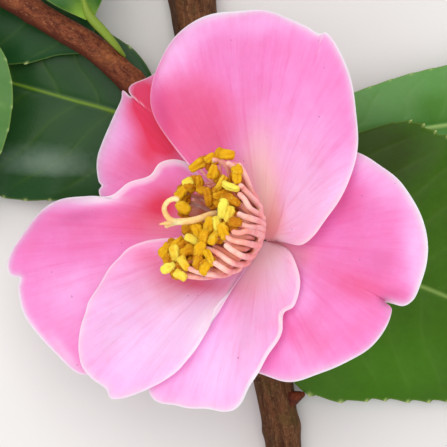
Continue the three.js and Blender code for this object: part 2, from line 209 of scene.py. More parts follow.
def joined(shapes: Sequence[Shape]) -> Shape:
    """One shape that holds several.

    Args:
        shapes: all with the same marks.

    Returns:
        Their points, faces, UV maps and marks, one after another.
    """
    starts = np.cumsum([0] + [len(s.points) for s in shapes[:-1]])
    return Shape(
        np.concatenate([s.points for s in shapes]),
        np.concatenate([s.faces + n for s, n in zip(shapes, starts)]),
        np.concatenate([s.uv for s in shapes]),
        {k: np.concatenate([s.marks[k] for s in shapes]) for k in shapes[0].marks},
    )


def grid_faces(rows: int, columns: int, wrap: bool = False) -> Array:
    """Corner numbers of the faces between the points of a grid laid row by row.

    Args:
        rows: how many rows of points.
        columns: how many points a row.
        wrap: whether the last column joins the first.

    Returns:
        Four corner numbers a face.
    """
    r, c = np.meshgrid(np.arange(rows - 1), np.arange(columns if wrap else columns - 1), indexing="ij")
    d = (c + 1) % columns
    low, high = r * columns, (r + 1) * columns
    return np.stack([low + c, low + d, high + d, high + c], -1).reshape(-1, 4)


def slab(grid: Array, thickness: Array, uv: Array, marks: Marks) -> Shape:
    """Thin closed body on a grid of surface points.

    Args:
        grid: middle surface, rows by columns by three.
        thickness: at each point, in millimetres.
        uv: rows by columns by two.
        marks: named values, rows by columns.

    Returns:
        Both faces, half the thickness to either side of the middle surface, and the rim between them.
    """
    rows, columns = grid.shape[:2]
    normal = unit(np.cross(np.gradient(grid, axis=0), np.gradient(grid, axis=1)))
    half = 0.5 * thickness[..., None] * normal
    top = grid_faces(rows, columns)
    under = rows * columns
    ring = np.concatenate([
        np.arange(columns - 1), np.arange(rows - 1) * columns + columns - 1,
        (rows - 1) * columns + np.arange(columns - 1, 0, -1), np.arange(rows - 1, 0, -1) * columns,
    ])
    following = np.roll(ring, -1)
    rim = np.stack([following, ring, ring + under, following + under], -1)
    return Shape(
        np.concatenate([(grid + half).reshape(-1, 3), (grid - half).reshape(-1, 3)]),
        np.concatenate([top, top[:, ::-1] + under, rim]),
        np.tile(uv.reshape(-1, 2), (2, 1)),
        {k: np.tile(m.reshape(-1), 2) for k, m in marks.items()} | {"face": np.repeat([1.0, 0.0], under)},
    ).outward()


def skin(rings: Array, marks: Marks | None = None) -> Shape:
    """Closed skin over rings of points, with a fan of triangles over each end.

    Args:
        rings: rings by sides by three.
        marks: named values, rings by sides.

    Returns:
        The skin, with a UV map of (around, along).
    """
    count, sides = rings.shape[:2]
    uv = np.stack(np.meshgrid(np.linspace(0, 1, sides, endpoint=False), np.linspace(0, 1, count)), -1)
    k = np.arange(sides)
    n = (k + 1) % sides
    first, top = count * sides, (count - 1) * sides
    low = np.stack([n, k, np.full(sides, first), np.full(sides, first)], -1)
    high = np.stack([k + top, n + top, np.full(sides, first + 1), np.full(sides, first + 1)], -1)
    flat = {name: m.reshape(-1) for name, m in (marks or {}).items()}
    return Shape(
        np.concatenate([rings.reshape(-1, 3), [rings[0].mean(0), rings[-1].mean(0)]]),
        np.concatenate([grid_faces(count, sides, wrap=True), low, high]),
        np.concatenate([uv.reshape(-1, 2), uv[0, :1], uv[-1, :1]]),
        {name: np.concatenate([m, m[:1], m[-1:]]) for name, m in flat.items()},
    ).outward()


def carried_sides(along: Array) -> tuple[Array, Array]:
    """Two directions square to a path at each of its points, carried along without twist.

    Args:
        along: the path's own direction at each point.

    Returns:
        The two directions at each point.
    """
    side = np.array([0.0, 0.0, 1.0] if abs(along[0][2]) < 0.8 else [1.0, 0.0, 0.0])
    sides = []
    for direction in along:
        side = side - direction * side.dot(direction)
        side = side / np.linalg.norm(side)
        sides.append(side)
    first = np.array(sides)
    return first, np.cross(along, first)


def tube(path: Spline, radius: Callable[[Array, Array], Array], steps: int, sides: int,
         rounded: tuple[bool, bool] = (False, False), square_start: Vec | None = None) -> Shape:
    """Closed limb of varying radius along a path.

    Args:
        path: centre line.
        radius: radius from the share of the length and the angle, in radians.
        steps: rings along the path.
        sides: points round each ring.
        rounded: whether the start and the end close in a dome; a plain end is a flat cut.
        square_start: the direction that the first ring faces, where it isn't the path's own.

    Returns:
        The limb, with marks in millimetres for the way along and the two ways across.
    """
    share = np.linspace(0.0, 1.0, steps)
    angle = np.linspace(0.0, math.tau, sides, endpoint=False)[None, :]
    along = path.along(share)
    if square_start is not None:
        along[0] = square_start
    first, second = carried_sides(along)
    r = np.broadcast_to(radius(share[:, None], angle), (steps, sides)).copy()
    run = path.length * share
    for end, distance in ((0, run), (-1, path.length - run)):
        if rounded[end]:
            dome = np.clip(distance / float(r[end].mean()), 0.0, 1.0)
            r *= np.sqrt(np.maximum(1.0 - (1.0 - dome) ** 2, 0.004))[:, None]
    across, beside = r * np.cos(angle), r * np.sin(angle)
    turned = np.cos(angle)[..., None] * first[:, None] + np.sin(angle)[..., None] * second[:, None]
    marks = {"along": np.broadcast_to(run[:, None], r.shape), "round_x": across, "round_y": beside}
    return skin(path.at(share)[:, None] + r[..., None] * turned, marks)


def placed(name: str, data: bpy.types.ID) -> bpy.types.Object:
    """A new object in the scene with the data.

    Args:
        name: its name.
        data: a mesh, a light or a camera.

    Returns:
        The object.
    """
    thing = bpy.data.objects.new(name, data)
    bpy.context.scene.collection.objects.link(thing)
    return thing


@dataclass
class Placer:
    """Turns shapes into Blender objects in the row frame, by the cut end's place in both frames."""

    cut_end: Vec

    def __post_init__(self) -> None:
        """Takes the shift between the two frames from the cut end's mount."""
        mount = next(m for m in frame["record"]["mounts"] if m["name"] == CUT_END)
        self.shift = np.array(mount["pos_m"]) / MM - np.array(self.cut_end)

    def to_row(self, points: Array) -> Array:
        """Positions in the row frame, in metres."""
        return (np.asarray(points, float) + self.shift) * MM

    def add(self, name: str, shape: Shape, material: bpy.types.Material, replaces: Sequence[str],
            slot: str) -> None:
        """Makes a smooth-shaded object that rides on the sprig.

        Args:
            name: the piece's name.
            shape: its mesh data.
            material: its finish.
            replaces: the CAD nodes it stands for.
            slot: the record's material slot; not used.
        """
        mesh = bpy.data.meshes.new(name)
        faces = [face[:3] if face[2] == face[3] else face for face in shape.faces.tolist()]
        mesh.from_pydata(self.to_row(shape.points).tolist(), [], faces, shade_flat=False)
        corners = shape.uv[np.concatenate(faces)]
        mesh.uv_layers.new(name="UVMap").data.foreach_set("uv", corners.astype(np.float32).ravel())
        for mark, values in shape.marks.items():
            data = mesh.attributes.new(mark, "FLOAT", "POINT").data
            data.foreach_set("value", values.astype(np.float32))
        mesh.materials.append(material)
        mesh.validate()
        piece = placed(name, mesh)
        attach(piece, BODY)
        if replaces:
            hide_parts(*replaces)
        LOG.info("%s: %d points, %d faces", name, len(shape.points), len(faces))


# Finishes


def srgb(code: str) -> Colour:
    """Linear colour from a six-digit hex code."""
    parts = [int(code[k:k + 2], 16) / 255.0 for k in (0, 2, 4)]
    return tuple(p / 12.92 if p <= 0.04045 else ((p + 0.055) / 1.055) ** 2.4 for p in parts)


@dataclass
class Socket:
    """An output of a node in a shader tree, which can be added, subtracted and multiplied."""

    tree: "ShaderTree"
    output: bpy.types.NodeSocket

    def __add__(self, other: "Socket | float") -> "Socket":
        """This value plus another."""
        return self.tree.math("ADD", self, other)

    def __sub__(self, other: "Socket | float") -> "Socket":
        """This value less another."""
        return self.tree.math("SUBTRACT", self, other)

    def __rsub__(self, other: float) -> "Socket":
        """A number less this value."""
        return self.tree.math("SUBTRACT", other, self)

    def __mul__(self, other: "Socket | float") -> "Socket":
        """This value times another."""
        return self.tree.math("MULTIPLY", self, other)

    __radd__ = __add__
    __rmul__ = __mul__

    def ramp(self, low: float, high: float) -> "Socket":
        """Zero at low, one at high, smooth between; low may be the larger."""
        return self.tree.node("ShaderNodeMapRange", {"interpolation_type": "SMOOTHSTEP"}, {
            "Value": self, "From Min": low, "From Max": high})


class ShaderTree:
    """A material's node tree, built by calls that return sockets."""

    def __init__(self, name: str) -> None:
        """Starts an empty material.

        Args:
            name: the material's name.
        """
        self.material = bpy.data.materials.new(name)
        self.material.use_nodes = True
        self.nodes = self.material.node_tree.nodes
        self.links = self.material.node_tree.links
        self.nodes.clear()

    def make(self, kind: str, settings: dict | None = None, values: dict | None = None) -> bpy.types.Node:
        """Adds a node.

        Args:
            kind: Blender's name for the node type.
            settings: the node's properties.
            values: its inputs by name or number, each a socket to link or a value to set.

        Returns:
            The node.
        """
        node = self.nodes.new(kind)
        for key, value in (settings or {}).items():
            setattr(node, key, value)
        for key, value in (values or {}).items():
            if isinstance(value, Socket):
                self.links.new(value.output, node.inputs[key])
            else:
                node.inputs[key].default_value = value
        return node

    def node(self, kind: str, settings: dict | None = None, values: dict | None = None,
             output: str | int = 0) -> Socket:
        """Adds a node and returns one of its outputs."""
        return Socket(self, self.make(kind, settings, values).outputs[output])

    def math(self, operation: str, *terms: "Socket | float") -> Socket:
        """A math node over its terms."""
        return self.node("ShaderNodeMath", {"operation": operation}, dict(enumerate(terms)))

    def place(self) -> Socket:
        """Position in the object's own space, in metres."""
        return self.node("ShaderNodeTexCoord", output="Object")

    def uv(self) -> tuple[Socket, Socket]:
        """The two parts of the UV map.

        Returns:
            Across and outward.
        """
        both = self.node("ShaderNodeUVMap", {"uv_map": "UVMap"})
        split = self.make("ShaderNodeSeparateXYZ", values={0: both})
        return Socket(self, split.outputs[0]), Socket(self, split.outputs[1])

    def mark(self, name: str) -> Socket:
        """A named value stored on the mesh."""
        return self.node("ShaderNodeAttribute", {"attribute_name": name}, output="Fac")

    def vector(self, x: Socket, y: Socket, z: "Socket | float" = 0.0) -> Socket:
        """A vector from three parts."""
        return self.node("ShaderNodeCombineXYZ", values={0: x, 1: y, 2: z})

    def noise(self, vector: Socket, scale: float, detail: float = 3.0, roughness: float = 0.5) -> Socket:
        """Smooth noise of about zero to one."""
        return self.node("ShaderNodeTexNoise", values={
            "Vector": vector, "Scale": scale, "Detail": detail, "Roughness": roughness})

    def coats(self, ground: str, *layers: tuple["Socket | float", str]) -> Socket:
        """Tones laid over a ground in turn.

        Args:
            ground: its hex code.
            layers: how much of each tone, held between zero and one, and the tone's hex code.

        Returns:
            The colour.
        """
        colour = (*srgb(ground), 1.0)
        for factor, tone in layers:
            colour = self.node("ShaderNodeMix", {"data_type": "RGBA", "clamp_factor": True}, {
                0: factor, 6: colour, 7: (*srgb(tone), 1.0)}, output=2)
        return colour

    def relief(self, height: Socket, distance: float, strength: float) -> Socket:
        """Normal from a height, where one unit of height is the distance in millimetres."""
        return self.node("ShaderNodeBump", values={
            "Height": height, "Strength": strength, "Distance": distance * MM})

    def finish(self, colour: Socket, roughness: "Socket | float", normal: Socket | None = None,
               others: "dict[str, float | tuple | Socket] | None" = None) -> bpy.types.Material:
        """Closes the tree with one surface shader.

        Args:
            colour: base colour.
            roughness: value or socket.
            normal: from relief().
            others: further inputs of the shader, by name.

        Returns:
            The material.
        """
        values = {"Base Color": colour, "Roughness": roughness} | (others or {})
        if normal is not None:
            values["Normal"] = normal
        surface = self.node("ShaderNodeBsdfPrincipled", values=values)
        self.make("ShaderNodeOutputMaterial", values={"Surface": surface})
        return self.material


class Finish(ABC):
    """A look from which materials are made."""

    @abstractmethod
    def lay(self, tree: ShaderTree, place: Socket) -> bpy.types.Material:
        """Lays the tones and the relief.

        Args:
            tree: an empty tree.
            place: position in the object's own space, in metres.

        Returns:
            The finished material.
        """

    def material(self, name: str) -> bpy.types.Material:
        """A material of this look."""
        tree = ShaderTree(name)
        return self.lay(tree, tree.place())


@dataclass(frozen=True)
class PetalFinish(Finish):
    """Satin pink petal: mid pink, deep rose partly painted shade, pale lilac, cream, painted shade,
    near-white rim, veins, flecks and a faint painted glow.
    """

    base: str = "ea78b4"
    blush: str = "d8264a"
    pale: str = "f8bceb"
    cream: str = "f8c8c2"
    rim: str = "fdf0ff"
    dusk: str = "b43c78"
    vein: str = "e0408c"
    fleck: str = "8a4a5c"

    def lay(self, tree: ShaderTree, place: Socket) -> bpy.types.Material:
        """Builds the material from the tones' marks and the fan's UV map, with rays along the petal.

        Args:
            tree: an empty tree.
            place: position in the object's own space, in metres.

        Returns:
            The finished material.
        """
        u, v = tree.uv()
        cloud = tree.noise(place, 170.0, 5.0, 0.65)
        rays = tree.noise(tree.vector(u * 46.0, v * 1.6), 1.0, 5.0, 0.62)
        threads = tree.noise(tree.vector(u * 170.0, v * 4.0), 1.0, 3.0, 0.6)
        drift = (rays - 0.5) * 0.3 + (cloud - 0.5) * 0.45
        veins = rays.ramp(0.52, 0.72) * 0.16 + threads.ramp(0.5, 0.72) * 0.18
        flecks = tree.noise(place, 1500.0, 0.0).ramp(0.87, 0.9)
        colour = tree.coats(
            self.base,
            (tree.mark("pale") - drift, self.pale),
            (tree.mark("cream") + (cloud - 0.5) * 0.2, self.cream),
            # deep rose, partly painted shade and reflected light in folds and under the cup
            (tree.mark("blush") + drift * 0.55, self.blush),
            # painted shade where a petal lies in shade
            (tree.mark("dusk") + drift * 0.2, self.dusk),
            (veins * v.ramp(1.05, 0.75), self.vein),
            (tree.mark("rim") * (cloud.ramp(0.2, 0.6) * 0.4 + 0.7), self.rim),
            (flecks * 0.6, self.fleck))
        height = rays * 0.55 + threads * 0.3 + tree.noise(place, 900.0, 3.0) * 0.25
        # A faint emission of the petal's own colour is a painted glow that lightens shaded cracks between the
        # petals.
        return tree.finish(colour, 0.55, tree.relief(height, 0.16, 0.5), {
            "Subsurface Weight": 0.7, "Subsurface Radius": (1.0, 0.6, 0.75), "Subsurface Scale": 0.0025,
            "Sheen Weight": 0.12, "Sheen Roughness": 0.5, "Specular IOR Level": 0.25,
            "Emission Color": colour, "Emission Strength": 0.05})


@dataclass(frozen=True)
class LeafFinish(Finish):
    """Glossy leathery leaf with a pale midrib, faint side veins, pale teeth and a thin pale margin."""

    deep: str = "1c3f1c"
    mid: str = "35602a"
    vein: str = "6f8f34"
    margin: str = "7f9440"
    under: str = "5d7d45"
    teeth: str = "c6d486"
    gloss: float = 0.36
    veined: float = 0.1
    shine: float = 0.18

    def lay(self, tree: ShaderTree, place: Socket) -> bpy.types.Material:
        """Builds the material from the marks midrib, vein, rim, tooth, face and tint.

        Args:
            tree: an empty tree.
            place: position in the object's own space, in metres.

        Returns:
            The finished material.
        """
        patch = tree.noise(place, 70.0, 4.0, 0.6)
        fine = tree.noise(place, 650.0, 3.0, 0.6)
        net = tree.noise(place, 260.0, 4.0, 0.6)
        colour = tree.coats(
            self.deep,
            (tree.mark("tint") + (patch - 0.5) * 0.5 + (fine - 0.5) * 0.3, self.mid),
            (tree.mark("vein") * self.veined, self.vein),
            (tree.mark("midrib"), self.vein),
            (tree.mark("rim").ramp(0.4, 0.05) * 0.3, self.margin),
            (tree.mark("tooth"), self.teeth),
            (1.0 - tree.mark("face"), self.under))
        height = fine * 0.5 + patch * 0.5 + net * 0.5
        rough = fine * 0.2 + net * 0.15 + (self.gloss - 0.17)
        return tree.finish(colour, rough, tree.relief(height, 0.14, 0.5), {
            "Specular IOR Level": self.shine, "Coat Weight": 0.02, "Coat Roughness": 0.3})


@dataclass(frozen=True)
class BarkFinish(Finish):
    """Woody skin: long streaks of fibre, mossy patches, pale specks, relief and painted shade on the side
    turned away from the light.
    """

    dark: str = "40220c"
    mid: str = "6c4226"
    light: str = "9c7650"
    moss: str = "5c4c20"
    streak: float = 7.0
    mossy: float = 0.5
    fibre: float = 0.6
    speck: float = 0.4
    depth: float = 0.3
    painted_side_shade: float = 0.5

    def lay(self, tree: ShaderTree, place: Socket) -> bpy.types.Material:
        """Builds the material on the limb's marks for the ways along and across it.

        Args:
            tree: an empty tree.
            place: position in the object's own space, in metres.

        Returns:
            The finished material.
        """
        along = tree.mark("along") * (1.0 / self.streak)
        lengthwise = tree.vector(tree.mark("round_x"), tree.mark("round_y"), along)
        streaks = tree.noise(lengthwise, 0.9, 6.0, 0.72)
        threads = tree.noise(lengthwise, 3.2, 4.0, 0.7)
        broad = tree.noise(place, 130.0, 4.0, 0.65)
        grain = tree.noise(place, 1500.0, 4.0, 0.7)
        specks = tree.noise(place, 2300.0, 1.0, 0.4).ramp(0.66, 0.74)
        colour = tree.coats(
            self.dark,
            (streaks.ramp(0.36, 0.6), self.mid),
            (threads.ramp(0.5, 0.72) * self.fibre, self.light),
            (broad.ramp(0.5, 0.68) * self.mossy, self.moss),
            (grain.ramp(0.56, 0.36) * 0.55, self.dark),
            (specks * self.speck, self.light),
            # painted shade: the bark is darkened on the side turned away from the light, by the mark upper
            (tree.mark("upper").ramp(0.75, 0.25) * self.painted_side_shade, self.dark))
        height = streaks * 0.9 + threads * 0.5 + grain * 0.6
        return tree.finish(colour, 0.7, tree.relief(height, self.depth, 0.9), {"Specular IOR Level": 0.2})


@dataclass(frozen=True)
class SoftFinish(Finish):
    """Plain plant tissue: two tones in soft patches, with a fine grain.

    Attributes:
        first: one tone.
        second: the other.
        shade: a third tone where the mark shade says, or nothing.
        grain: noise cells a metre.
        depth: relief, in millimetres.
        roughness: of the surface.
        glow: how much light passes through.
    """

    first: str
    second: str
    shade: str
    grain: float
    depth: float
    roughness: float
    glow: float

    def lay(self, tree: ShaderTree, place: Socket) -> bpy.types.Material:
        """Builds the material on the object's own position.

        Args:
            tree: an empty tree.
            place: position in the object's own space, in metres.

        Returns:
            The finished material.
        """
        patch = tree.noise(place, self.grain * 0.3, 3.0, 0.6)
        fine = tree.noise(place, self.grain, 2.0, 0.6)
        layers = [(patch.ramp(0.36, 0.66), self.second)]
        if self.shade:
            layers.append((tree.mark("shade") + (patch - 0.5) * 0.4, self.shade))
        colour = tree.coats(self.first, *layers)
        return tree.finish(colour, self.roughness, tree.relief(fine + patch, self.depth, 0.7), {
            "Subsurface Weight": self.glow, "Subsurface Radius": (1.0, 0.6, 0.3), "Subsurface Scale": 0.0008,
            "Specular IOR Level": 0.3})


@dataclass(frozen=True)
class PollenFinish(Finish):
    """Golden anther dusted with pollen; the mark tone runs from brown gold over gold to lemon."""

    brown: str = "c07404"
    gold: str = "e2aa0c"
    lemon: str = "f4e458"

    def lay(self, tree: ShaderTree, place: Socket) -> bpy.types.Material:
        """Builds the material from the mark tone and the object's own position.

        Args:
            tree: an empty tree.
            place: position in the object's own space, in metres.

        Returns:
            The finished material.
        """
        dust = tree.noise(place, 1500.0, 4.0, 0.7)
        blob = tree.noise(place, 520.0, 3.0, 0.6)
        tone = tree.mark("tone") + (blob - 0.5) * 0.8
        colour = tree.coats(
            self.brown,
            (tone.ramp(0.05, 0.5), self.gold),
            (tone.ramp(0.55, 1.0), self.lemon),
            (dust.ramp(0.55, 0.7) * 0.45, self.lemon))
        return tree.finish(colour, 0.75, tree.relief(dust + blob * 0.5, 0.22, 0.9), {
            "Subsurface Weight": 0.15, "Subsurface Radius": (1.0, 0.7, 0.1), "Subsurface Scale": 0.0006,
            "Specular IOR Level": 0.2})


# Bloom

BLOOM_BASE = np.array([7.31, -3.05, 29.0])
BLOOM_AXIS = unit(np.array([-0.44, 0.2, 0.875]))
BLOOM_ACROSS = unit(np.array([1.0, 0.0, 0.0]) - BLOOM_AXIS * BLOOM_AXIS[0])
BLOOM_UP = np.cross(BLOOM_AXIS, BLOOM_ACROSS)
BOWL_RISE = 13.0
BOWL_REACH = 16.0
BOWL_POWER = 1.4
LAYER_STEP = 1.5
LAYER_STEP_AT_BASE = 0.5
CLAW_RADIUS = 0.3
CLAW_HALF_ANGLE = 36.0
ROW_CROWDING = 1.3
OUTER_PART = (7.0, 20.0)
RIM_WIDTH = 0.28
RIM_TONE = 0.5
RIM_RIPPLE = 0.0045
RIM_RIPPLE_GROWS = (9.0, 20.0)
RIM_TONE_GROWS = (7.0, 13.0)
FINE_RIPPLE = 0.13
BROAD_RIPPLE = 0.12
BAND_SHARE = 0.8
FOLD_TONE = 0.6
FOLD_SLOPE = (-0.2, 0.25)
FOLD_LINE = 0.15
THROAT_BLUSH = 0.28
THROAT_BLUSH_GROWS = (7.0, 2.0)
THROAT_CREAM = 0.55
THROAT_CREAM_GROWS = (9.0, 3.0)
EDGE_THINNESS = 0.28
EDGE_TAPER = 2.2
NOTCH_SPREAD = 9
NOTCH_LATE = (0.72, 1.0)
SEPAL_HALF_ANGLE = 33.5
SEPAL_LAYER = 3.1


def bloom_point(x: Array, y: Array, height: Array) -> Array:
    """Position from the plan of the bloom and the height along its axis."""
    x, y, height = (np.asarray(q)[..., None] for q in (x, y, height))
    return BLOOM_BASE + x * BLOOM_ACROSS + y * BLOOM_UP + height * BLOOM_AXIS


def bowl(radius: Array) -> Array:
    """Height of the bowl that all petals share: it rises fast at first and flattens outwards."""
    return BOWL_RISE * (1.0 - bump(radius, BOWL_REACH, BOWL_POWER))


class Tone(Enum):
    """Petal tones laid over the mid pink, some partly painted light or shade. On a leaf, PALE is its lighter
    green, also used for painted sheen and shade.
    """

    # Deep rose: partly the petal's own colour, partly painted shade and painted reflected pink light in folds
    # and under the stamens.
    BLUSH = "blush"
    PALE = "pale"
    CREAM = "cream"
    # Painted shade: a dusky purple pink laid where a petal lies in shade or curls away from the light.
    DUSK = "dusk"
    RIM = "rim"


@dataclass(frozen=True)
class Blot:
    """A soft patch of a tone, placed in the view.

    Attributes:
        tone: which tone.
        x, y: centre in the view.
        wide, tall: half sizes along its own two directions.
        strength: how much of the tone; a negative one takes it away.
        turn: angle of the first direction, in degrees.
        hard: one for a soft patch; more gives it a flat middle and a crisper edge.
    """

    tone: Tone
    x: float
    y: float
    wide: float
    tall: float
    strength: float
    turn: float = 0.0
    hard: float = 1.0

    def on(self, view: Array) -> Array:
        """Spreads the tone over places in the view.

        Args:
            view: the places.

        Returns:
            Strength at each, which falls off in an ellipse.
        """
        c, s = polar(self.turn, 1.0)
        dx, dy = view[..., 0] - self.x, view[..., 1] - self.y
        off = ((dx * c + dy * s) / self.wide) ** 2 + ((dy * c - dx * s) / self.tall) ** 2
        return self.strength * bump(off, 1.0, self.hard)


def patches(**rows: tuple[tuple[float, ...], ...]) -> tuple[Blot, ...]:
    """Blots from rows of their numbers, under the names of their tones."""
    return tuple(Blot(Tone(name), *row) for name, group in rows.items() for row in group)


def amount(blots: Sequence[Blot], tone: Tone, points: Array) -> Array:
    """How much of a tone the blots lay on positions, found where the camera sees each one.

    Args:
        blots: patches of any tones.
        tone: the one to add up.
        points: positions in the sprig's own frame.

    Returns:
        The sum of the strengths at each position.
    """
    view = points[..., :2] * ((CAMERA_HEIGHT - REFERENCE_HEIGHT) / (CAMERA_HEIGHT - points[..., 2:3]))
    return sum((b.on(view) for b in blots if b.tone is tone), np.zeros(view.shape[:-1]))


@dataclass(frozen=True)
class Swell:
    """A part of a petal that is lifted, more so outwards: height, and centre and half size across."""

    rise: float
    u: float
    du: float


@dataclass(frozen=True)
class Roll:
    """A stretch of margin that curls up: centre, half size, height, width, paleness and how crisp that is.
    The paleness is partly a painted highlight on the curl; a negative one is painted shade.
    """

    u: float
    du: float
    rise: float
    width: float
    white: float
    crisp: float = 2.0


@dataclass(frozen=True)
class Fold:
    """A step in a petal along a line in its plan; the side left of the line stands higher.

    Attributes:
        start, end: where the line begins and ends, as angle and radius.
        rise: height of the step at either.
        reach: how far the raised side stays raised.
        white: width of the pale line along the step, a painted highlight on its edge, or nothing.
    """

    start: Pair
    end: Pair
    rise: Pair
    reach: float
    white: float = 0.0

    def on(self, spot: Array) -> tuple[Array, Array]:
        """Lifts the higher side and marks the step.

        Args:
            spot: places in the plan.

        Returns:
            Height, and closeness to the line: one on it and zero away from it.
        """
        a, b = polar(*self.start), polar(*self.end)
        line = b - a
        length = float(np.linalg.norm(line))
        off = spot - a
        share = np.clip((off @ line) / length**2, 0.0, 1.0)
        left = (line[0] * off[..., 1] - line[1] * off[..., 0]) / length
        rise = self.rise[0] + (self.rise[1] - self.rise[0]) * share
        height = rise * smoothstep(left, *FOLD_SLOPE) * bump(np.maximum(left, 0.0), self.reach)
        if not self.white:
            return height, np.zeros_like(height)
        return height, bump(left - FOLD_LINE, self.white) * np.minimum(1.0, np.abs(rise)) * (share < 1.0)


@dataclass(frozen=True)
class Fan:
    """A petal or scale: rays fan out from a short claw to an outline.

    Attributes:
        name: its CAD node.
        layer: steps below the front petals.
        middle: the claw's middle angle, in degrees.
        outline: (angle, radius) points of the margin, counter-clockwise.
        swells, rolls, folds, blots: lifted parts, curls of the margin, steps and patches of tone.
        pale: pale tone everywhere.
        seed: pattern of the ripples.
        thickness: at the middle, in millimetres.
        spread: half angle of the claw.
        columns, rows: grid points across and outward.
    """

    name: str
    layer: float
    middle: float
    outline: tuple[Pair, ...]
    swells: tuple[Swell, ...] = ()
    rolls: tuple[Roll, ...] = ()
    folds: tuple[Fold, ...] = ()
    blots: tuple[Blot, ...] = ()
    pale: float = 0.2
    seed: int = 1
    thickness: float = 0.46
    spread: float = CLAW_HALF_ANGLE
    columns: int = 260
    rows: int = 130

    def rays(self, u: Array, v: Array) -> tuple[Array, Array]:
        """Places in the plan at shares across and outward.

        The rays run to a softened margin, so that a notch is felt only on their last stretch.

        Args:
            u: shares across, one row.
            v: shares outward, one column.

        Returns:
            The places, and each one's distance from the margin.
        """
        claw = polar(self.middle + self.spread * (2.0 * u[0] - 1.0), CLAW_RADIUS)
        rim = Spline(polar(*np.array(self.outline, float).T)).at(u[0])
        outer = smoothstep(np.linalg.norm(rim, axis=-1), *RIM_RIPPLE_GROWS)
        rim = rim * (1.0 + RIM_RIPPLE * outer * ripple(u[0] * 9.0, u[0] * 0.0, self.seed))[:, None]
        spread = np.pad(rim, ((NOTCH_SPREAD, NOTCH_SPREAD), (0, 0)), mode="reflect", reflect_type="odd")
        window = np.hanning(2 * NOTCH_SPREAD + 1) / NOTCH_SPREAD
        soft = np.stack([np.convolve(axis, window, mode="valid") for axis in spread.T], -1)
        late = smoothstep(v, *NOTCH_LATE)[..., None]
        spot = claw[None] + (soft + (rim - soft) * late - claw) * v[..., None]
        near = np.stack([np.linalg.norm(row[:, None] - rim[None], axis=-1).min(1) for row in spot])
        return spot, near

    def shape(self) -> Shape:
        """The petal as a thin closed body.

        The height of a place is the shared bowl's at its radius, less the layers' steps, plus swells that
        grow with the square of the share outward, folds, curls near the margin and two fine ripples. Blush
        and cream fill the throat, the rim is pale, and each roll has a pale or a darker band.

        Returns:
            The petal, with a mark for each tone and a UV map of (across, outward).
        """
        u = np.linspace(0.0, 1.0, self.columns)[None, :]
        v = (1.0 - (1.0 - np.linspace(0.0, 1.0, self.rows)) ** ROW_CROWDING)[:, None]
        spot, near = self.rays(u, v)
        radius = np.linalg.norm(spot, axis=-1)
        step = LAYER_STEP_AT_BASE + (LAYER_STEP - LAYER_STEP_AT_BASE) * smoothstep(radius, *OUTER_PART)
        height = bowl(radius) - self.layer * step
        for swell in self.swells:
            height = height + swell.rise * bump(u - swell.u, swell.du) * v**2
        band = np.zeros_like(radius)
        for roll in self.rolls:
            here = bump(u - roll.u, roll.du)
            height = height + roll.rise * here * bump(near, roll.width)
            band = band + roll.white * here * bump(near, BAND_SHARE * roll.width, roll.crisp)
        rim_tone = RIM_TONE * (bump(near, RIM_WIDTH) + band)
        for fold in self.folds:
            lift, close = fold.on(spot)
            height = height + lift
            rim_tone = np.maximum(rim_tone, FOLD_TONE * close)
        height = height + FINE_RIPPLE * v**3 * ripple(u * 13.0, v * 1.6, self.seed + 5)
        height = height + BROAD_RIPPLE * v**2 * ripple(u * 5.0, v * 2.5, self.seed + 9)
        grid = bloom_point(spot[..., 0], spot[..., 1], height)
        marks = {tone.value: amount(self.blots, tone, grid) for tone in Tone}
        marks["rim"] += rim_tone * smoothstep(radius, *RIM_TONE_GROWS)
        marks["blush"] += THROAT_BLUSH * smoothstep(radius, *THROAT_BLUSH_GROWS)
        marks["pale"] += band + self.pale
        marks["cream"] += THROAT_CREAM * smoothstep(radius, *THROAT_CREAM_GROWS)
        full = smoothstep(near, 0.0, EDGE_TAPER)
        thickness = self.thickness * (EDGE_THINNESS + (1.0 - EDGE_THINNESS) * full)
        return slab(grid, thickness, np.stack(np.broadcast_arrays(u, v), -1), marks)


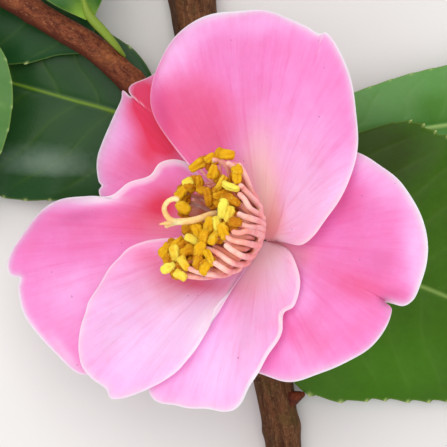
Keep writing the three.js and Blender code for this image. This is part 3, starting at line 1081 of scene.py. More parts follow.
PETALS = (
    Fan("petal_top", 0, 56,
        ((-8, 3.4), (-15, 6.9), (-17, 11), (-9.5, 14), (0.5, 16.7), (14, 21.6), (31, 27.6), (47, 33.3),
         (60, 38.2), (62.5, 37.6), (67, 38.2), (83, 40), (99, 40.4), (108, 38.4), (116, 34.2), (122, 30),
         (125, 26.4), (127, 20), (128, 14), (124, 8)),
        each(Swell, (3, 0.84, 0.13), (1.2, 0.5, 0.08), (1.2, 0.12, 0.08)),
        each(Roll, (0.62, 0.06, 0.25, 1.2, 0.35), (0.4, 0.1, 0.2, 1, 0.25), (0.1, 0.1, 0.2, 1, 1),
             (0.82, 0.1, 0.1, 0.8, -0.7)),
        each(Fold, ((43, 10.1), (-10, 3.3), (0, 1), 3), ((61.5, 38), (60, 33), (0.5, 0), 2, 0.2)),
        patches(
            # The broad deep rose patch low on the top petal is painted reflected light and shade inside its
            # fold.
            blush=((-5.8, 18.6, 8.4, 8.6, 0.42, 0, 3), (-5, 18.5, 7, 7, 0.2), (-11.2, 18, 2, 6, 0.3, 18),
                   (9.4, 2.4, 1.6, 3.5, 0.2)),
            dusk=((-9.6, 22, 4.5, 6, 0.22, 20), (-11.6, 20.5, 1.8, 6.5, 0.5, 12), (2, 29.5, 8, 6, 0.12),
                  (-7.5, 18, 5, 6, 0.14)),
            pale=((-8.4, 30.5, 7, 2.6, 0.5, 48), (6, 36.5, 12, 2.2, 0.3), (14, 3, 5, 6.5, 0.7, -25),
                  (14, 12, 6.5, 8, 0.5), (20.8, 6, 2.2, 8, 0.6, -20), (14.2, -0.8, 4, 3, 0.5)),
            cream=((6.6, 10.4, 3.4, 7, 0.75), (8.4, 3.4, 2.2, 5, 0.8))),
        0.12, 3),
    Fan("petal_upper_left", 2, 136,
        ((92, 8), (92, 20), (100, 31), (110, 35.6), (122, 36.9), (126.5, 37.6), (127.9, 37.2),
         (128.8, 35.8), (129.3, 36.4), (129.9, 38.3), (131.5, 37.5), (144, 35.6), (151, 34.3),
         (157.5, 32.6), (158.8, 31.6), (160.5, 31.8), (170, 27.6), (177, 20), (178, 8)),
        (), each(Roll, (0.38, 0.09, 0.4, 1, -0.5), (0.62, 0.12, 0.2, 1, 0.05)),
        each(Fold, ((128.8, 36.5), (127.5, 31), (1.1, 0), 4, 0.08),
             ((158.8, 31.6), (150, 25), (-0.5, 0), 2.5)),
        patches(
            blush=((-12, 18.4, 2.4, 8, 1.3, 27, 1.5), (-14.4, 17.2, 2.5, 7.5, 0.6, 17, 1.5),
                   (-13.4, 11.5, 4, 4.5, 0.4, 20), (-17.4, 20.5, 2.4, 2.6, 0.2),
                   (-13.6, 25, 3.2, 2.6, 0.6, 30), (-17, 9, 5, 4.5, 0.25)),
            dusk=((-14, 23, 3, 5, 0.25, 30), (-20, 14, 4, 8, 0.12)),
            pale=((-20.8, 15, 2.8, 7, 0.55, -14), (-17.5, 22.5, 1.3, 4, 0.4, -30))),
        0.12, 11),
    Fan("petal_left", 1, 174,
        ((127, 8), (130, 18.8), (139, 22.1), (147, 22.5), (154, 25.4), (161, 27.6), (163.5, 32.4),
         (167, 38.1), (175, 44.2), (183.5, 48.4), (185.5, 48), (186.6, 46.2), (189, 46.9), (195, 46.7),
         (206, 43.3), (218, 39.7), (222, 33), (223, 22), (221, 8)),
        each(Swell, (1.6, 0.36, 0.08), (-0.8, 0.6, 0.1)),
        each(Roll, (0.2, 0.1, 0.9, 1.2, 0.6, 4), (0.11, 0.04, 0.5, 1, 0.5), (0.55, 0.15, 0.2, 1, 0.3)),
        each(Fold, ((186.6, 46.2), (187, 41), (-0.5, 0), 2.5)),
        patches(
            blush=((-12.2, 3.4, 5.6, 3, 0.72, 25), (-21, -0.6, 8, 2.8, 0.2, 10),
                   (-15.5, -1.5, 4, 2.2, 0.25), (-10.2, 1.4, 3.6, 4.6, 0.45)),
            pale=((-25.2, -10.4, 8, 3, 0.35, 10), (-29, 3.2, 7, 1.2, 0.2, 12), (-28, -17, 6, 6.5, 0.3)),
            cream=((-11, 0, 4, 3.5, 0.35),),
            dusk=((-27, 1.2, 3.5, 1.6, 0.3, 10), (-28, -1, 10, 6, 0.2, 15), (-22, 1.9, 5.5, 1, 0.2, 4)),
            # The rim patches are painted highlights along the curled margins.
            rim=((-28.6, -23.6, 4.5, 0.9, 0.2, -51), (-23, 4.1, 4.5, 0.9, 0.45, 4))),
        0.04, 21),
    Fan("petal_lower_left", 0, 216,
        ((177, 8), (183, 20.5), (191, 26.2), (201, 31.7), (207, 35.2), (213, 37.7), (221, 38.4),
         (227, 37.8), (230, 38.4), (235, 35.5), (244, 28.9), (250, 22.5), (251.5, 17.4), (248.5, 15.2),
         (251, 12), (247, 8)),
        each(Swell, (1.6, 0.1, 0.12), (1.3, 0.9, 0.12)),
        each(Roll, (0.82, 0.1, 0.3, 1, 0.9), (0.4, 0.1, 0.2, 1, 0.3)), (),
        patches(
            blush=((-4.6, -11, 6.5, 1.7, 0.6, -10), (-11.5, -7.5, 4, 2.6, 0.3, -30), (-14, -6, 4.5, 3, 0.3),
                   (-10, -12, 6, 3, 0.2)),
            pale=((-6, -18.5, 8, 5, 0.75, 40), (-18, -22, 5, 8, 0.3, 20)),
            rim=((-2.8, -18.4, 5.5, 2, 0.55, 59),), cream=((-9.5, -12.5, 6, 4, 0.35),)),
        0.6, 31),
    Fan("petal_lower", 1, 284,
        ((229, 8), (228, 20), (231, 29), (240, 34.2), (250, 33.4), (260, 32.6), (269, 32.7), (275.3, 28.9),
         (283.5, 24.5), (292.7, 20.8), (296.6, 17.4), (303.5, 17.4), (316.7, 14.6), (325, 11.4), (333, 8.2),
         (338.4, 4.6), (338, 2.4)),
        each(Swell, (1.5, 0.62, 0.1), (0.8, 0.86, 0.08)),
        each(Roll, (0.7, 0.11, 0.7, 1, 1.4, 6), (0.88, 0.07, 0.3, 1, 0.9)), (),
        patches(
            # The pale patch and the rim patch on the lobe near the cup are painted light, lifting it out of
            # the top petal's shadow.
            blush=((2.5, -12, 3.5, 2.5, 0.2),), pale=((0, -25, 8, 9, 0.4), (11, -8, 3, 6, 0.6)),
            cream=((4.5, -10.5, 4.5, 4, 0.45),), rim=((8, -6, 3.6, 4.8, 0.4, 15),)),
        0.5, 41),
    Fan("petal_right", 2, 338,
        ((264, 8), (263, 18), (268, 24), (277, 26.4), (287, 29), (302, 31.3), (314, 32.9), (323, 33.5),
         (328, 33.2), (329.8, 32.8), (330.6, 31), (331.3, 32.6), (332, 34.5), (334.2, 35.5), (338, 36),
         (344, 36.5), (352, 35.5), (360, 33.7), (369, 31.5), (380, 27.8), (391, 24.5), (404, 21), (412, 15),
         (414, 8)),
        each(Swell, (-0.6, 0.46, 0.04)),
        each(Roll, (0.62, 0.14, 0.3, 1, 0.4), (0.3, 0.12, 0.2, 1, 0.1), (0.455, 0.02, 0, 1, -1)),
        each(Fold, ((330.6, 31.2), (332, 24.5), (0.8, 0), 2.5)),
        patches(
            blush=((23, 3.6, 4, 3.2, 0.08), (25.5, -11.5, 6.5, 2.6, 0.42, -20),
                   (16, -20.5, 3.6, 4.5, 0.2, 20)),
            dusk=((23.5, 3, 4.5, 4.5, 0.26), (31, -13.2, 3.2, 1.7, 0.4, 10),
                  (29.6, -14.3, 1.1, 0.7, 1.2, -35), (16, -4.5, 8, 5, 0.16), (28.5, -7, 3.5, 3, 0.3)),
            # The pale patches beside the top petal's edge and beside the lower petal's lobe are painted light
            # over cast shadow.
            pale=((14, -13, 2.6, 3.6, 0.5), (35.2, -4, 2.4, 9.5, 0.6, 4), (14, -24, 4, 3, 0.3),
                  (17, -27, 9, 1.6, 0.3, 12), (30, 6.5, 4, 3, 0.35, -40), (25.4, 10.6, 3, 2.6, 0.5)),
            cream=((13, -5.5, 4, 3, 0.35),)),
        0.06, 51),
)


def sepal(index: int) -> Fan:
    """One of the five bud scales under the petals.

    Args:
        index: which, from 0.

    Returns:
        The scale, laid out as a petal is.
    """
    middle = index * 72.0 + 20.0
    outline = tuple((middle + a, r) for a, r in ((-31, 7), (-29, 12), (0, 17), (29, 12), (31, 7)))
    return Fan(f"sepal_{index + 1}", SEPAL_LAYER, middle, outline, seed=60 + index, thickness=0.8,
               spread=SEPAL_HALF_ANGLE, columns=60, rows=36)


# Stamens and pistil

CUP_START = 0.7
CUP_KNEE = 5.5
CUP_BEND = 5.0
CUP_WALL = 0.7
CUP_LENGTH = 14.0
CUP_FOOT = (-2.2, 0.9)
CUP_MOUTH = np.array([-4.6, 0.8, 42.4])
CUP_LEAN = unit(np.array([-0.72, 0.35, 0.6]))
CUP_LONG_SIDE = np.array([-0.43, -0.9, 0.0])
CUP_FOOT_RADIUS = 2.6
CUP_MOUTH_RADIUS = 10.4
CUP_RIM = 0.62
CUP_WEB = 0.08
CUP_WEB_WIDTH = 0.07
CUP_WEB_RIDGE = 2.4
CUP_FLOOR = 0.06
CUP_STRIPES = 40.0
CUP_STRIPE_HEIGHT = 0.05
STYLE_FORK = np.array([-9.3, 0.2, 45.6])

# Part of the mouth that no anther hides: its place in the view, and its radius.
CLEAR_PATCH = (-4.8, 3.9, 2.3)

# Height in the view above which the anthers stand apart.
OPEN_ABOVE = 6.0

# Strands whose angles differ by less have a lower one between them, this much deeper in.
CLOSE_STRANDS = 20.0
LOWER_STRAND_DEPTH = 1.3

# Shares of the cup's length that a strand passes on the wall, and then free.
STRAND_ON_WALL = (0.52, 0.6, 0.67)
STRAND_FREE = (0.84, 0.93, 1.02)

# Radii of the filaments at the foot, and how much thinner they end.
STRAND_RADIUS = 0.66
STRAND_TAPER = 0.18
THREAD_RADIUS = 0.34
THREAD_TAPER = 0.1

# An anther's half length, as a share of the length seen, its half width, flatness, groove and bend.
ANTHER_HALF = 0.58
ANTHER_WIDTHS = (0.66, 0.92)
ANTHER_FLATNESS = 0.72
ANTHER_GROOVE = 0.5
ANTHER_BEND = 0.3
ANTHER_LUMPS = 0.2


class StamenCup:
    """The cup of joined filaments: its leaning centre line and the places round it."""

    def __init__(self) -> None:
        """Traces the centre line, which leaves the petals along the bloom's axis and leans over."""
        foot = bloom_point(*CUP_FOOT, CUP_START)
        knee = bloom_point(*CUP_FOOT, CUP_START + CUP_KNEE)
        late = CUP_MOUTH - CUP_BEND * CUP_LEAN
        t = np.linspace(0.0, 1.0, 21)[:, None]
        early = (1 - t) ** 3 * foot + 3 * (1 - t) ** 2 * t * knee
        self.line = Spline(early + 3 * (1 - t) * t**2 * late + t**3 * CUP_MOUTH)

    def at(self, share: Array, radius: Array, angle: Array) -> Array:
        """Positions beside the centre line.

        Args:
            share: way along it; over one, it runs on in the mouth's own direction.
            radius: distance from it.
            angle: angle round it, in radians.

        Returns:
            The positions.
        """
        share, radius, angle = np.broadcast_arrays(*(np.asarray(q, float) for q in (share, radius, angle)))
        held = np.minimum(share, 1.0)
        along = self.line.along(held)
        side = unit(CUP_LONG_SIDE - along * (along @ CUP_LONG_SIDE)[..., None])
        on, out, over = (q[..., None] for q in (
            np.maximum(share - 1.0, 0.0) * CUP_LENGTH, radius * np.cos(angle), radius * np.sin(angle)))
        return self.line.at(held) + along * on + side * out + np.cross(along, side) * over

    @staticmethod
    def radius(share: Array) -> Array:
        """Outer radius, which opens like a goblet: a quarter sine wave from the foot to the mouth."""
        rise = np.sin(0.5 * math.pi * np.minimum(share, 1.0) ** 1.1)
        return CUP_FOOT_RADIUS + (CUP_MOUTH_RADIUS - CUP_FOOT_RADIUS) * rise

    def walled(self, share: float, depth: float, angle: float) -> Array:
        """Position at a depth inside the outer wall."""
        return self.at(share, float(self.radius(share)) - depth, angle)

    def behind(self, x: float, y: float, share: float) -> tuple[Array, float]:
        """The position that the camera sees at a place in the view, on the cup's cross plane at a share.

        Args:
            x: across the view.
            y: up the view.
            share: which cross plane, near one.

        Returns:
            The position and its angle round the cup.
        """
        centre = CUP_MOUTH + CUP_LEAN * (share - 1.0) * CUP_LENGTH
        eye = np.array([0.0, 0.0, CAMERA_HEIGHT])
        sight = np.array([x, y, REFERENCE_HEIGHT - CAMERA_HEIGHT])
        place = eye + sight * float((centre - eye) @ CUP_LEAN / (sight @ CUP_LEAN))
        side = unit(CUP_LONG_SIDE - CUP_LEAN * (CUP_LEAN @ CUP_LONG_SIDE))
        off = place - centre
        return place, math.atan2(float(off @ np.cross(CUP_LEAN, side)), float(off @ side))


@dataclass(frozen=True)
class Anther:
    """An anther as the camera sees it: place in the view, length, direction in degrees, and tone 0 to 1."""

    x: float
    y: float
    length: float
    turn: float
    tone: float

    def off(self, x: float, y: float) -> float:
        """Distance from a place in the view."""
        return math.hypot(x - self.x, y - self.y)


@dataclass(frozen=True)
class Strand:
    """A thick outer filament: its angle on the wall, and three places in the view that it passes inwards."""

    angle: float
    places: tuple[Pair, ...] | Array


# From the right of the cup round its lower side, then up its right side to the top.
STRANDS = each(
    Strand,
    (124, ((4.6, 3), (3.7, 4.5), (2.6, 5.6))),
    (116, ((4.8, 1), (3.5, 1.4), (2.5, 1.9))),
    (109, ((4.1, -0.5), (2.6, 0.1), (1.4, 1.2))),
    (102, ((4.1, -1.4), (2.8, -1.7), (1.4, -1.4))),
    (89, ((3.5, -3.4), (1.5, -3), (-0.1, -1.7))),
    (74, ((3, -5.7), (1.5, -4.8), (0.1, -3.7))),
    (62, ((1, -6.8), (-1.4, -5.2), (-4.1, -4.3))),
    (48, ((0.3, -8.4), (-0.8, -7.7), (-1.9, -7))),
    (35, ((-2.3, -9.2), (-4.5, -8.8), (-6.5, -8.1))),
    (18, ((-5, -9.7), (-6.8, -9.4), (-8.3, -8.6))),
    (138, ((4.3, 5.6), (3.5, 6.5), (3, 7))),
    (152, ((4.1, 8.3), (3.4, 9.7), (2.6, 11))),
    (166, ((2.6, 9.4), (1.5, 10.5), (0.5, 11.2))),
    (188, ((0.5, 10.5), (-0.8, 11.4), (-2.1, 11.6))),
)

# Upper bunch, middle bunch and lower bunch.
ANTHERS = each(
    Anther,
    (0.6, 12.5, 2.5, 5, 0.45), (-2.5, 11.9, 1.9, 40, 0.5), (-4.8, 10.5, 2.7, 30, 0.55),
    (-1.9, 9.4, 2.3, 75, 0.5), (2.3, 9.7, 1.8, 10, 0.45), (-6.5, 7.6, 1.9, 20, 0.95),
    (-7.7, 5.6, 2.3, 50, 0.6), (-4.3, 7.2, 2.8, 95, 0.25), (-0.3, 7.4, 2.5, 60, 0.7), (1.2, 6.6, 3, 160, 1),
    (2.5, 8.3, 1.8, 100, 0.5), (-2.8, 4.8, 3, 100, 0.2), (1.6, 4.2, 2.7, 150, 0.15),
    (-0.6, 5.2, 2.2, 20, 0.3),
    (0, 2.7, 3.1, 85, 1), (1.1, 1.6, 2.6, 75, 0.8), (-7.4, 3, 2.7, 150, 0.5), (-2.6, -0.4, 2.8, 75, 0.6),
    (-1.1, -0.2, 2.9, 95, 0.85), (-1.8, -2.4, 2.6, 60, 0.6), (0.1, -1.5, 2.7, 110, 0.5),
    (2.1, 0.3, 2.1, 170, 0.1),
    (-5.6, -2.8, 2.6, 160, 0.9), (-8.3, -3.5, 2.4, 40, 0.5), (-10.7, -4.8, 2.6, 60, 0.5),
    (-8.8, -5.4, 2.9, 100, 0.8), (-6.5, -4.9, 2.5, 30, 0.35), (-4.3, -4.8, 2.7, 70, 0.45),
    (-2.5, -6.1, 2.9, 115, 0.6), (-4.8, -7, 2.7, 80, 0.2), (-6.3, -0.7, 2.4, 20, 0.3),
    (-4.7, -1.2, 2.6, 120, 0.45), (-3.6, -2.6, 2.4, 80, 0.35), (-7.2, -7.2, 2.6, 120, 0.7),
    (-10.1, -8.1, 2.5, 30, 1), (-7.9, -9.4, 2.2, 140, 0.85), (-3.4, -8.1, 2.2, 60, 0.5),
)


@dataclass
class Stamens:
    """Cup wall, free filaments and anthers, each one mesh."""

    cup: StamenCup
    seed: int = 8

    def __post_init__(self) -> None:
        """Places every anther: those seen, and darker ones a little deeper, halfway to each neighbour, whose
        darker tone is painted shade in the gaps.

        An anther that stands apart counts its nearest neighbour only, and any other one its nearest three.
        """
        rng = np.random.default_rng(self.seed)
        clear_x, clear_y, clear_radius = CLEAR_PATCH
        self.tips: list[tuple[Array, float, Anther]] = []
        for anther in ANTHERS:
            self.tips.append((*self.cup.behind(anther.x, anther.y, rng.uniform(1.0, 1.08)), anther))
            near = sorted(ANTHERS, key=lambda other: anther.off(other.x, other.y))
            for other in near[1:2] if anther.y > OPEN_ABOVE else near[1:4]:
                x, y = 0.5 * (anther.x + other.x), 0.5 * (anther.y + other.y)
                extra = Anther(x, y, rng.uniform(2.2, 3.0), rng.uniform(0, 180), rng.uniform(0.0, 0.35))
                if extra.off(clear_x, clear_y) > clear_radius:
                    self.tips.append((*self.cup.behind(x, y, rng.uniform(0.88, 0.97)), extra))

    @staticmethod
    def rim(angle: Array) -> Array:
        """Where the wall ends: drawn up into a web at each strand.

        Args:
            angle: angles round the cup.

        Returns:
            Shares of the cup's length.
        """
        turns = np.radians([strand.angle for strand in STRANDS])
        off = np.abs((angle[..., None] - turns + math.pi) % math.tau - math.pi)
        return CUP_RIM + CUP_WEB * bump(off, CUP_WEB_WIDTH).max(-1)

    def wall(self) -> Shape:
        """The joined filaments: up the outside, ridged under the strands, and down the inside.

        Returns:
            A closed cup, with the mark shade inside it.
        """
        outer_rows, inner_rows = 50, 30
        angle = np.linspace(0.0, math.tau, 480, endpoint=False)[None, :]
        top = self.rim(angle)
        outside = np.linspace(0.0, 1.0, outer_rows)[:, None] * top
        inside = CUP_FLOOR + np.linspace(1.0, 0.0, inner_rows)[:, None] * (top - CUP_FLOOR)
        share = np.concatenate([outside, inside])
        inner = np.repeat([0.0, 1.0], [outer_rows, inner_rows])[:, None]
        ridge = CUP_WEB_RIDGE * (top - CUP_RIM) * smoothstep(share, 0.25, 0.6)
        ridge = ridge + CUP_STRIPE_HEIGHT * np.cos(CUP_STRIPES * angle) * smoothstep(share, 0.1, 0.3)
        radius = self.cup.radius(share) + (1.0 - inner) * ridge - CUP_WALL * inner
        shade = inner * (0.25 + 0.75 * smoothstep(share, 0.66, 0.3))
        return skin(self.cup.at(share, radius, angle), {"shade": shade})

    def filaments(self) -> Shape:
        """Free filaments: thick outer ones that grow out of the wall, in two rows, and one to every anther.

        Returns:
            All of them as one mesh; the deeper ones carry more of the mark shade.
        """
        rng = np.random.default_rng(self.seed + 3)
        rows = [(strand, 0.0, 0.0) for strand in STRANDS] + [
            (Strand(0.5 * (a.angle + b.angle), 0.5 * np.add(a.places, b.places)), LOWER_STRAND_DEPTH, 0.4)
            for a, b in zip(STRANDS, STRANDS[1:]) if abs(a.angle - b.angle) < CLOSE_STRANDS]
        pieces = []
        for strand, depth, shade in rows:
            wall = [self.cup.walled(q, 0.25 + depth, math.radians(strand.angle)) for q in STRAND_ON_WALL]
            planes = (q - 0.09 * depth for q in STRAND_FREE)
            free = [self.cup.behind(x, y, q)[0] for (x, y), q in zip(strand.places, planes)]
            path = Spline(wall + free)
            thick = tube(path, lambda s, a: STRAND_RADIUS - STRAND_TAPER * s, 60, 12, (True, True))
            pieces.append(thick.marked(shade=shade))
        for place, angle, _ in self.tips:
            clear = math.cos(angle - 1.5 * math.pi) > 0.3
            pull = 0.75 if clear else rng.uniform(2.2, 3.8)
            path = Spline([self.cup.walled(0.3, 0.6, angle), self.cup.walled(0.6, pull, angle), place])
            thin = tube(path, lambda s, a: THREAD_RADIUS - THREAD_TAPER * s, 20, 8, (False, True))
            pieces.append(thin.marked(shade=0.1 if clear else rng.uniform(0.3, 0.8)))
        return joined(pieces)

    def anthers(self) -> Shape:
        """Two-lobed anthers: plump, lumpy egg shapes with a groove along both broad sides, slightly bent.

        Returns:
            All of them as one mesh, each with its own value of the mark tone.
        """
        rng = np.random.default_rng(self.seed + 1)
        lat = np.linspace(0.02, math.pi - 0.02, 19)[:, None]
        lon = np.linspace(0.0, math.tau, 24, endpoint=False)[None, :]
        groove = 1.0 - ANTHER_GROOVE * bump(np.cos(lon), 0.3)
        pieces = []
        for place, _, anther in self.tips:
            half, width = ANTHER_HALF * anther.length, rng.uniform(*ANTHER_WIDTHS)
            skewed = rng.uniform(-0.2, 0.2) * np.cos(lat)
            plump = np.sin(lat) ** 0.6 * (1.0 + 0.22 * np.cos(lat) ** 2 + skewed)
            lumps = ripple(np.cos(lon), lat * 1.2 + np.sin(lon), int(rng.integers(1, 999)))
            girth = width * plump * groove * (1.0 + ANTHER_LUMPS * lumps)
            bent = ANTHER_FLATNESS * girth * np.sin(lon) - ANTHER_BEND * np.cos(lat) ** 2
            body = np.stack(np.broadcast_arrays(girth * np.cos(lon), bent, half * np.cos(lat)), -1)
            turn = math.radians(anther.turn)
            axis = unit(np.array([math.cos(turn), math.sin(turn), rng.normal(0.0, 0.3)]))
            upward = np.array([rng.normal(0.0, 0.4), rng.normal(0.0, 0.4), 1.0])
            facing = unit(np.cross(np.cross(axis, upward), axis))
            piece = skin(body @ np.stack([np.cross(facing, axis), facing, axis]) + place)
            pieces.append(piece.marked(tone=anther.tone))
        return joined(pieces)


def pistil(cup: StamenCup) -> Shape:
    """Style and its three arms: one curled far round, one pointed, one short.

    Args:
        cup: the cup that it rises from.

    Returns:
        All four limbs as one mesh.
    """
    path = Spline([cup.at(0.1, 0.0, 0.0), (0.8, 1.4, 41.0), (-1.6, 1.7, 43.4), (-5.2, 0.6, 45.2), STYLE_FORK])
    pieces = [tube(path, lambda s, a: 0.9 - 0.3 * smoothstep(s, 0.0, 0.5), 70, 20, (True, True))]
    blunt, pointed = (0.5, 0.5, 0.46, 0.44, 0.48), (0.5, 0.4, 0.12)
    root = (1.4, 0.1, 0.0)
    for radii, arm in (
            (blunt, ((0, 0.5, 0.4), (-0.8, 1.5, 0.9), (-1, 2.6, 1.4), (-0.4, 3.6, 1.8), (0.7, 4.1, 1.8),
                     (1.6, 3.9, 1.4))),
            (pointed, ((-0.6, -0.1, 0.2), (-1.9, -0.35, 0.5))),
            (blunt, ((-0.3, -0.4, -0.6), (-0.8, -0.7, -1.8)))):
        curl = Spline(STYLE_FORK + np.array([root, *arm]))
        pieces.append(tube(curl, lambda s, a: profile(radii, s), 60, 14, (True, True)))
    return joined(pieces)


# Woody parts

STEM_PATH = (
    (-8.6, 66, 4.6), (-8.2, 60, 4.6), (-6.1, 43.3, 4.6), (-4.6, 34, 4.5), (-0.6, 17, 4.3), (3.8, -3, 4.1),
    (7.6, -20, 3.9), (10.5, -35.5, 3.9), (11.9, -43, 3.6), (12.6, -56, 3.5), (14.2, -68, 3.4))
STEM_RADII = (4.6, 4.6, 4.3, 4.1, 3.9, 3.85, 3.4, 3.4)
TWIG_PATH = (
    (0.5, 12, 6.5), (-8, 18.8, 9.8), (-17.5, 27.3, 12), (-24.9, 33.9, 13.4), (-31.7, 38, 14.3),
    (-41.3, 43.6, 14.8), (-52, 48.6, 14.4), (-64, 53, 13))
TWIG_RADII = (2.55, 2.55, 2.4, 2.2)
BUD_PATH = ((11.2, -35.8, 4.2), (13.9, -34.7, 5.4), (16.2, -33.8, 6.2))
BUD_RADII = (2.2, 1.9, 1.2, 0.4)
STALK_PATH = ((4.4, -5, 6.6), (7.6, -6.2, 13), *(bloom_point(0.0, 0.0, h) for h in (-9.0, -4.0, -0.9)))
STALK_RADII = (2.4, 2.3, 2.6, 3.4, 3.4, 2.6)
RING_WIDTH = 0.012
LIMB_END = 3.0
FOOT_WARD: Vec = (0.0, -1.0, 0.0)
LOWEST = 0.02

# Direction that the light comes from; the bark turned away from it gets painted shade.
LIGHT_FROM: Vec = (0.55, 0.5, 0.67)


@dataclass(frozen=True)
class Limb:
    """A woody limb with an uneven skin.

    Attributes:
        path, radii: its centre line, and the radii at even stations along it.
        lumps: their height, as a share of the radius.
        rings: place along it and height of each ring.
        seed: pattern of the lumps.
        steps, sides: points along it and round it.
    """

    path: tuple[Vec, ...]
    radii: tuple[float, ...]
    lumps: float = 0.05
    rings: tuple[Pair, ...] = ()
    seed: int = 70
    steps: int = 260
    sides: int = 96

    def radius(self, length: float, share: Array, angle: Array) -> Array:
        """The profile's radius with long low lumps, which fade at the ends, and a swelling at each ring.

        Args:
            length: the limb's own.
            share: way along it.
            angle: angle round it.

        Returns:
            Radii in millimetres.
        """
        run = share * length
        fade = smoothstep(run, 0.0, LIMB_END) * smoothstep(length - run, 0.0, LIMB_END)
        broad = ripple(run / 22.0 + np.cos(angle), np.sin(angle), self.seed)
        ridge = ripple(run / 30.0 + 2.2 * np.cos(angle), 2.2 * np.sin(angle), self.seed + 1)
        swell = sum(height * bump(share - at, RING_WIDTH) for at, height in self.rings)
        return profile(self.radii, share) * (1.0 + fade * self.lumps * (broad + 0.5 * ridge)) + swell

    def shape(self, rounded: tuple[bool, bool] = (False, False), square_start: Vec | None = None) -> Shape:
        """The limb, pressed flat where it lies on the floor.

        Args:
            rounded: whether the start and the end close in a dome.
            square_start: the direction that the first ring faces, where it isn't the path's own.

        Returns:
            A tube that also has the mark upper, from 0 on the side turned from the light to 1 on the side
            facing it, for painted shade.
        """
        path = Spline(self.path)
        limb = tube(path, lambda share, angle: self.radius(path.length, share, angle), self.steps, self.sides,
                    rounded, square_start)
        near = path.trace[::8]
        axis = near[np.stack([np.linalg.norm(near - p, axis=1).argmin() for p in limb.points])]
        limb.points[:, 2] = np.maximum(limb.points[:, 2], LOWEST)
        # The mark upper is a fixed light direction, used for painted shade on the bark.
        limb.marks["upper"] = 0.5 + 0.5 * unit(limb.points - axis) @ unit(np.array(LIGHT_FROM))
        return limb


# Leaves

BLADE_COLUMNS = 91
COLUMN_CROWDING = 1.15
NARROWEST = 0.3
SIDE_VEIN_STEP = 8.0
SIDE_VEIN_SLANT = 0.62
SIDE_VEIN_CURVE = 0.10
SIDE_VEIN_WIDTH = 0.55
SIDE_VEIN_TROUGH = 2.2
SIDE_VEIN_DEPTH = 0.05
SIDE_VEIN_TROUGH_DEPTH = 0.07
MIDRIB_RISE = 0.1
MIDRIB_TROUGH_DEPTH = 0.25
MIDRIB_TROUGH = 2.4
SECOND_SIDE_OFFSET = 0.37
TEETH_START = (0.08, 0.22)
TEETH_END = (1.0, 0.9)
TOOTH_CURVE = 1.6
TOOTH_BACK = (0.86, 1.0)
ARCH = 0.5
MARGIN_WAVE = 0.35
LENGTH_TO_THICKNESS = 92.0


